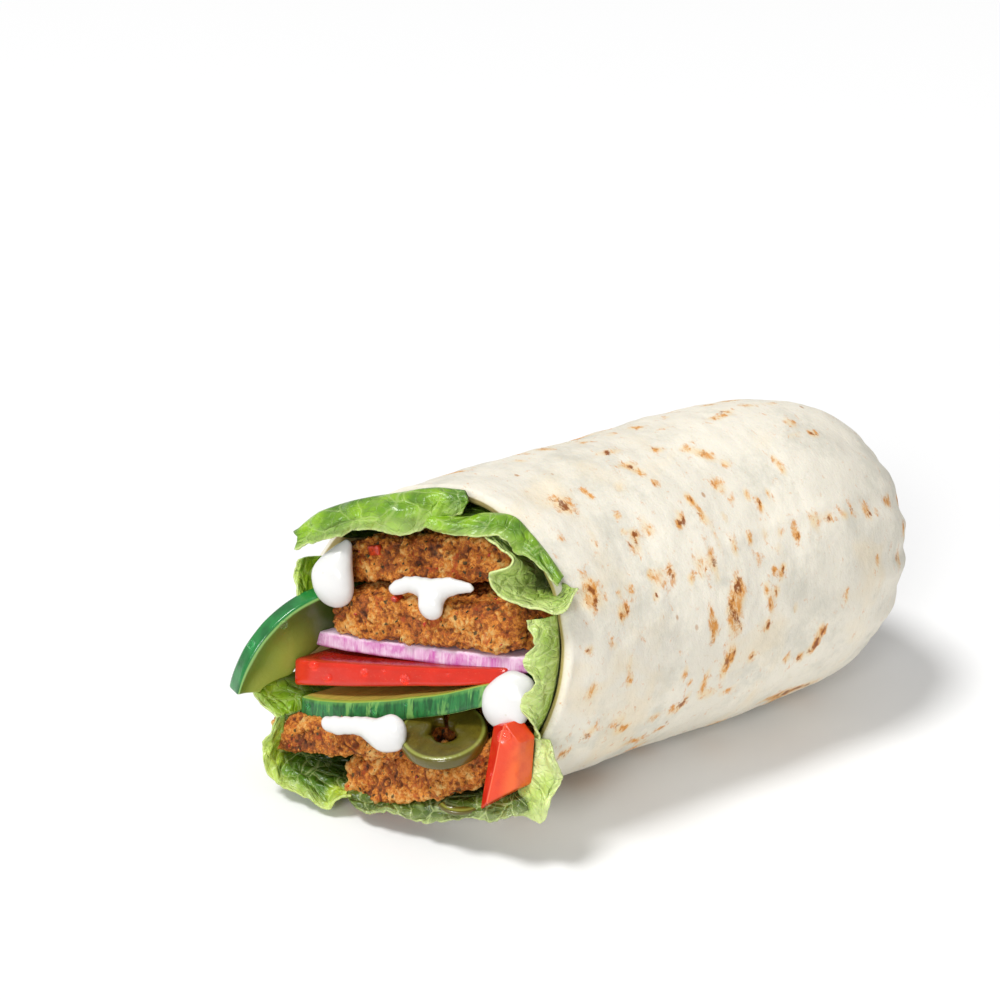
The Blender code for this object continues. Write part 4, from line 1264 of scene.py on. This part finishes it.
def make_drops(look):
    bm = bmesh.new()
    surfaces = {}
    for piece_name, pixel, radius, stretch in DROPS:
        if piece_name not in surfaces:
            surfaces[piece_name] = surface_of(piece_name)
        point, normal, _, _ = surfaces[piece_name].ray_cast(CAMERA_PLACE, sight(pixel))
        if point is None:
            raise ValueError("no " + piece_name + " behind " + str(pixel))
        shape = (radius, stretch * radius, DROP_HEIGHT * radius)
        place = sit(point / MM - normal * DROP_SINK * radius, normal, shape)
        bmesh.ops.create_uvsphere(bm, u_segments=24, v_segments=16, radius=1.0, matrix=place)
    place_piece("water_drops", bm, look).visible_shadow = False


def paint_drops():
    return Paint("water_drop", Base_Color=(0.9, 0.95, 1.0, 1.0), Roughness=0.02, IOR=1.33,
                 Transmission_Weight=1.0).material


BIT_SEED = 23
BIT_JITTER = 0.4
SHOWN_DEPTH = 3.0
# The small bits: name of the piece, its slot, range of sizes and shape
BITS = (
    ("golden_crumbs", "patty", (0.14, 0.40), (1.0, 0.75, 0.6)),
    ("herb_bits", "patty", (0.16, 0.52), (1.0, 0.45, 0.22)),
    ("pepper_bits", "red_pepper", (0.3, 0.6), (1.0, 0.7, 0.4)),
)
# The larger bits of pepper: the piece that they sit on, their place (y, z, reach), half sizes and turn
PEPPER_CHUNKS = (
    ("patty_top_crust", (14.6, 49.4, 3.4), (1.1, 1.9, 0.7), 0.5),
    ("patty_second_crust", (4.9, 43.2, 4.6), (1.7, 0.7, 0.5), 0.4),
)


def scatter(bm, draw, piece_name, count, size_range, shape):
    """Small bits over the part of a patty that shows."""
    shown = []
    for face in bpy.data.objects[piece_name].data.polygons:
        x, y, z = face.center / MM
        if x < cut_x(y, z) + SHOWN_DEPTH:
            shown.append(face)
    for face in draw.sample(shown, min(count, len(shown))):
        size = draw.uniform(*size_range)
        turn = Matrix.Rotation(draw.uniform(0.0, math.tau), 4, "Z")
        place = sit(face.center / MM, face.normal, [size * part for part in shape]) @ turn
        made = bmesh.ops.create_icosphere(bm, subdivisions=1, radius=1.0)
        for vert in made["verts"]:
            vert.co = place @ (vert.co * (1.0 + draw.uniform(-BIT_JITTER, BIT_JITTER)))


def add_chunks(peppers):
    """The larger bits of red pepper, each a block with rounded edges."""
    for piece_name, (y, z, reach), size, lean in PEPPER_CHUNKS:
        point, normal, _, _ = surface_of(piece_name).find_nearest(Vector((cut_x(y, z) - reach, y, z)) * MM)
        block = box_grid(5, 5, 3)
        place = sit(point / MM, normal) @ Matrix.Rotation(lean, 4, "Z")
        for vert in block.verts:
            local = rounded(vert.co, size, 0.3)
            local += 0.12 * Vector((lumps(local, 1.2, 3), lumps(local, 1.3, 5), lumps(local, 1.1, 8)))
            vert.co = place @ local
        mesh = bpy.data.meshes.new("chunk")
        block.to_mesh(mesh)
        block.free()
        peppers.from_mesh(mesh)
        bpy.data.meshes.remove(mesh)


def make_bits(looks, counts):
    draw = random.Random(BIT_SEED)
    meshes = [bmesh.new() for _ in BITS]
    for name in PATTIES:
        for bm, count, (_, _, size_range, shape) in zip(meshes, counts, BITS):
            scatter(bm, draw, name + "_crust", count, size_range, shape)
    add_chunks(meshes[-1])
    for bm, look, (name, slot, _, _) in zip(meshes, looks, BITS):
        place_piece(name, bm, look)


def paint_bit(name, colour, dark, patch, span, grain, **constants):
    """A plain finish of two tones in patches of one size, with a fine grain."""
    paint = Paint(name, **constants)
    place = paint.place()
    paint.feed(Base_Color=paint.mix(paint.step(paint.cloud(place, *patch), *span), shade(dark, colour), colour))
    paint.bump((paint.cloud(place, grain, 2.0), 0.1))
    return paint.material


# Floor, light and camera


KEY_FROM = (-0.42, 0.12, 1.0)
KEY_SPREAD = math.radians(17.0)
FILL_PLACE = (-2.90, -2.1, 1.75)
FILL_TARGET = (-0.05, 0.0, 0.03)
FILL_SIZE = 1.2
FLOOR_SIZE = 3.0


def make_floor():
    bm = bmesh.new()
    bmesh.ops.create_grid(bm, x_segments=8, y_segments=8, size=FLOOR_SIZE)
    mesh = bpy.data.meshes.new("floor")
    bm.to_mesh(mesh)
    bm.free()
    floor = add_object("floor", mesh)
    paint = Paint("floor_white", Base_Color=(0.93, 0.93, 0.93, 1.0), Roughness=0.9, Specular_IOR_Level=0.0)
    mesh.materials.append(paint.material)


def make_camera():
    data = bpy.data.cameras.new("camera")
    data.lens = CAMERA_LENS
    data.sensor_width = SENSOR_WIDTH
    data.clip_start = 0.01
    camera = add_object("camera", data)
    camera.location = CAMERA_PLACE
    camera.rotation_euler = camera_axes()[0].to_track_quat("-Z", "Y").to_euler()
    bpy.context.scene.camera = camera


def make_lights(key_power, fill_power, sky):
    world = bpy.data.worlds.new("studio")
    bpy.context.scene.world = world
    world.use_nodes = True
    background = world.node_tree.nodes["Background"]
    background.inputs["Color"].default_value = (1.0, 1.0, 1.0, 1.0)
    background.inputs["Strength"].default_value = sky
    sun = bpy.data.lights.new("key", "SUN")
    sun.energy = key_power
    sun.angle = KEY_SPREAD
    key = add_object("key", sun)
    key.rotation_euler = Vector(KEY_FROM).to_track_quat("Z", "Y").to_euler()
    disk = bpy.data.lights.new("fill", "AREA")
    disk.shape = "DISK"
    disk.size = FILL_SIZE
    disk.energy = fill_power
    fill = add_object("fill", disk)
    fill.location = FILL_PLACE
    fill.rotation_euler = (Vector(FILL_TARGET) - Vector(FILL_PLACE)).to_track_quat("-Z", "Y").to_euler()
    bpy.context.scene.view_settings.view_transform = "Standard"


# Add-on: settings, operators and panel


def colour_setting(label, description, default):
    return bpy.props.FloatVectorProperty(name=label, description=description, subtype="COLOR", size=3, min=0.0,
                                         max=1.0, default=default)


def length_setting(label, description, default):
    return bpy.props.FloatProperty(name=label, description=description, subtype="DISTANCE", unit="LENGTH", min=0.0,
                                   precision=5, default=default)


def count_setting(label, description, default):
    return bpy.props.IntProperty(name=label, description=description, min=0, default=default)


def colours(settings, *names):
    return [tuple(getattr(settings, name)) for name in names]


def millimetres(length):
    """A length setting in millimetres, without the last digits that its storing adds."""
    return round(length / MM, 4)


class WrapTortillaSettings(bpy.types.PropertyGroup):
    cream: colour_setting("Cream", "Colour of the plain sheet", (0.87, 0.82, 0.70))
    toast: colour_setting("Toast", "Colour of the lightly toasted marks", (0.70, 0.265, 0.020))
    scorch: colour_setting("Scorch", "Colour of the darkest marks", (0.22, 0.045, 0.005))
    wall: length_setting("Wall", "Thickness of the rolled sheet", 0.0024)
    pleats: count_setting("Folds", "Gathered folds of the closed end", 13)
    pleat_depth: length_setting("Fold depth", "How far the gathered folds rise and fall", 0.00045)
    loose_marks: count_setting("Loose marks", "Toasted marks on the back and underneath", 150)


class WrapFillingSettings(bpy.types.PropertyGroup):
    # The deep crust colour also fills the pits, where it is painted shade
    crust_deep: colour_setting("Crust, deep", "Colour in the pits of the patties", (0.070, 0.016, 0.004))
    crust: colour_setting("Crust", "Main colour of the patties", (0.46, 0.112, 0.011))
    crust_bright: colour_setting("Crust, bright", "Colour of the patties' crisp crumbs", (0.78, 0.27, 0.026))
    herb: colour_setting("Herb", "Colour of the herbs in the crust", (0.018, 0.035, 0.010))
    crumb: colour_setting("Crumb", "Colour of the loose crumbs", (0.56, 0.20, 0.035))
    herb_bit: colour_setting("Herb bit", "Colour of the herbs that stand out", (0.03, 0.06, 0.012))
    pepper_bit: colour_setting("Pepper bit", "Colour of the bits of red pepper", (0.70, 0.05, 0.012))
    crumbs: count_setting("Crumbs", "Loose crumbs on each patty", 300)
    herbs: count_setting("Herbs", "Bits of herb on each patty", 60)
    peppers: count_setting("Pepper bits", "Small bits of red pepper on each patty", 6)
    onion: colour_setting("Onion", "Purple of the onion", (0.58, 0.12, 0.42))
    onion_pale: colour_setting("Onion, pale", "Pale parts of the onion", (0.84, 0.62, 0.76))
    tomato: colour_setting("Tomato", "Skin of the tomato", (0.68, 0.026, 0.009))
    tomato_flesh: colour_setting("Tomato flesh", "Cut face of the tomato", (0.30, 0.010, 0.004))
    peel: colour_setting("Cucumber peel", "Dark peel of the cucumber", (0.022, 0.20, 0.045))
    peel_stripe: colour_setting("Peel stripe", "Pale stripes of the peel", (0.20, 0.44, 0.10))
    # This colour shows only on the top cut face: painted shade with a painted reflection of the tomato above it
    cucumber: colour_setting("Cucumber", "Cut face of the cucumber", (0.55, 0.42, 0.08))
    green_skin: colour_setting("Green pepper skin", "Skin of the green strip", (0.016, 0.22, 0.045))
    # The flesh colour shows only darkened, as painted shade where the strip runs into the roll
    green_flesh: colour_setting("Green pepper flesh", "Flesh of the green strip", (0.15, 0.24, 0.022))
    red_skin: colour_setting("Red pepper skin", "Left side of the red wedge", (0.68, 0.018, 0.007))
    red_flesh: colour_setting("Red pepper flesh", "Right side of the red wedge", (0.76, 0.055, 0.010))
    pickle_skin: colour_setting("Pickle skin", "Skin of the pickled ring", (0.105, 0.088, 0.006))
    pickle_flesh: colour_setting("Pickle flesh", "Flesh of the pickled ring", (0.135, 0.105, 0.008))
    sauce: colour_setting("Sauce", "Colour of the white sauce", (0.80, 0.795, 0.78))


class WrapLeafSettings(bpy.types.PropertyGroup):
    fresh_deep: colour_setting("Fresh, deep", "Shaded patches of the fresh leaves", (0.095, 0.235, 0.009))
    fresh: colour_setting("Fresh", "Main green of the fresh leaves", (0.27, 0.50, 0.012))
    pale_deep: colour_setting("Pale, deep", "Shaded patches of the pale leaves", (0.36, 0.54, 0.075))
    pale: colour_setting("Pale", "Main green of the pale leaves", (0.56, 0.72, 0.20))
    light_deep: colour_setting("Light, deep", "Shaded patches of the lightest leaf", (0.48, 0.64, 0.13))
    light: colour_setting("Light", "Main green of the lightest leaf", (0.70, 0.80, 0.34))
    lime: colour_setting("Lime", "Main green of the leaves at the left", (0.46, 0.62, 0.040))
    # The leaves underneath get these dark greens: their own deeper green darkened further as painted shade
    dark_deep: colour_setting("Dark, deep", "Shaded patches of the leaves underneath", (0.030, 0.065, 0.005))
    dark: colour_setting("Dark", "Main green of the leaves underneath", (0.10, 0.16, 0.014))
    vein: colour_setting("Vein", "Veins and edges", (0.70, 0.80, 0.34))
    thickness: length_setting("Thickness", "Thickness of a leaf", 0.00042)


class WrapStageSettings(bpy.types.PropertyGroup):
    key_power: bpy.props.FloatProperty(name="Key light", description="Strength of the main light", default=2.0,
                                       min=0.0)
    fill_power: bpy.props.FloatProperty(name="Fill light", description="Power of the light beside the camera",
                                        default=52.0, min=0.0, subtype="POWER", unit="POWER")
    sky: bpy.props.FloatProperty(name="Sky", description="Brightness of the white surroundings", default=0.40,
                                 min=0.0)


class WrapBuildTortilla(bpy.types.Operator):
    """Builds the rolled sheet with its toasted marks"""

    bl_idname = "wrap.build_tortilla"
    bl_label = "Tortilla"

    def execute(self, context):
        settings = context.scene.wrap_tortilla
        make_tortilla(paint_tortilla(*colours(settings, "cream", "toast", "scorch")), millimetres(settings.wall),
                      settings.pleats, millimetres(settings.pleat_depth), settings.loose_marks)
        return {"FINISHED"}


class WrapBuildPatties(bpy.types.Operator):
    """Builds the fried patties and the crumbs, herbs and bits on them"""

    bl_idname = "wrap.build_patties"
    bl_label = "Patties"

    def execute(self, context):
        settings = context.scene.wrap_filling
        look = paint_patty(*colours(settings, "crust_deep", "crust", "crust_bright", "herb"))
        for seed, name in enumerate(PATTIES, 1):
            make_patty(name, look, seed)
        crumb, herb_bit, pepper_bit = colours(settings, "crumb", "herb_bit", "pepper_bit")
        looks = (
            paint_bit("golden_crumb", crumb, 0.55, (1.5, 2.0), (0.35, 0.65), 0.3, Roughness=0.55),
            paint_bit("herb_bit", herb_bit, 0.4, (1.0, 2.0), (0.4, 0.6), 0.3, Roughness=0.5),
            paint_bit("pepper_bit", pepper_bit, 0.5, (0.8, 3.0), (0.4, 0.62), 0.4, Roughness=0.3, Coat_Weight=0.3),
        )
        make_bits(looks, (settings.crumbs, settings.herbs, settings.peppers))
        return {"FINISHED"}


class WrapBuildSlices(bpy.types.Operator):
    """Builds the slices of onion, tomato and cucumber"""

    bl_idname = "wrap.build_slices"
    bl_label = "Slices"

    def execute(self, context):
        settings = context.scene.wrap_filling
        make_slice("onion", paint_onion(*colours(settings, "onion", "onion_pale")))
        make_slice("tomato", paint_tomato(*colours(settings, "tomato", "tomato_flesh")))
        make_slice("cucumber", paint_cucumber(*colours(settings, "peel", "peel_stripe", "cucumber")))
        return {"FINISHED"}


class WrapBuildPeppers(bpy.types.Operator):
    """Builds the green strip, the red wedge and the pickled rings"""

    bl_idname = "wrap.build_peppers"
    bl_label = "Peppers"

    def execute(self, context):
        settings = context.scene.wrap_filling
        make_green_pepper(paint_green_pepper(*colours(settings, "green_skin", "green_flesh")))
        make_red_pepper(paint_red_pepper(*colours(settings, "red_skin", "red_flesh")))
        look = paint_pickle(*colours(settings, "pickle_skin", "pickle_flesh"))
        for name in RINGS:
            make_ring(name, look)
        return {"FINISHED"}


class WrapBuildSauce(bpy.types.Operator):
    """Builds the dollops and drips of white sauce"""

    bl_idname = "wrap.build_sauce"
    bl_label = "Sauce"

    def execute(self, context):
        look = paint_sauce(*colours(context.scene.wrap_filling, "sauce"))
        for name in SAUCES:
            make_sauce(name, look)
        return {"FINISHED"}


class WrapBuildLeaves(bpy.types.Operator):
    """Builds the lettuce leaves round the filling"""

    bl_idname = "wrap.build_leaves"
    bl_label = "Lettuce"

    def execute(self, context):
        settings = context.scene.wrap_leaves
        looks = {}
        for tone, (deep, fresh, *rest) in LEAF_LOOKS.items():
            looks[tone] = paint_leaf("lettuce_" + tone, *colours(settings, deep, fresh, "vein"), *rest)
        for key in LEAVES:
            make_leaf(key, looks[LEAF_TONES[key]], settings.thickness)
        return {"FINISHED"}


class WrapBuildDrops(bpy.types.Operator):
    """Builds the water drops on the vegetables"""

    bl_idname = "wrap.build_drops"
    bl_label = "Water drops"

    def execute(self, context):
        make_drops(paint_drops())
        return {"FINISHED"}


class WrapBuildStage(bpy.types.Operator):
    """Builds the floor, the lights and the camera"""

    bl_idname = "wrap.build_stage"
    bl_label = "Stage"

    def execute(self, context):
        settings = context.scene.wrap_stage
        make_floor()
        make_lights(settings.key_power, settings.fill_power, settings.sky)
        make_camera()
        return {"FINISHED"}


class WrapPanel(bpy.types.Panel):
    """Lists the pieces of the wrap"""

    bl_idname = "VIEW3D_PT_wrap"
    bl_label = "Vegetable wrap"
    bl_space_type = "VIEW_3D"
    bl_region_type = "UI"
    bl_category = "Wrap"

    def draw(self, context):
        for settings in (context.scene.wrap_tortilla, context.scene.wrap_filling, context.scene.wrap_leaves,
                         context.scene.wrap_stage):
            box = self.layout.box()
            for name in settings.__annotations__:
                box.prop(settings, name)
        for operator in OPERATORS:
            self.layout.operator(operator.bl_idname)


SETTINGS = {
    "wrap_tortilla": WrapTortillaSettings,
    "wrap_filling": WrapFillingSettings,
    "wrap_leaves": WrapLeafSettings,
    "wrap_stage": WrapStageSettings,
}

OPERATORS = (WrapBuildTortilla, WrapBuildPatties, WrapBuildSlices, WrapBuildPeppers, WrapBuildSauce, WrapBuildLeaves,
             WrapBuildDrops, WrapBuildStage)


def register():
    for cls in (*SETTINGS.values(), *OPERATORS, WrapPanel):
        bpy.utils.register_class(cls)
    for name, cls in SETTINGS.items():
        setattr(bpy.types.Scene, name, bpy.props.PointerProperty(type=cls))


def unregister():
    for name in SETTINGS:
        delattr(bpy.types.Scene, name)
    for cls in reversed((*SETTINGS.values(), *OPERATORS, WrapPanel)):
        bpy.utils.unregister_class(cls)


def main():
    register()
    bpy.ops.wrap.build_tortilla()
    bpy.ops.wrap.build_patties()
    bpy.ops.wrap.build_slices()
    bpy.ops.wrap.build_peppers()
    bpy.ops.wrap.build_sauce()
    bpy.ops.wrap.build_leaves()
    bpy.ops.wrap.build_drops()
    bpy.ops.wrap.build_stage()


if __name__ == "__main__":
    main()
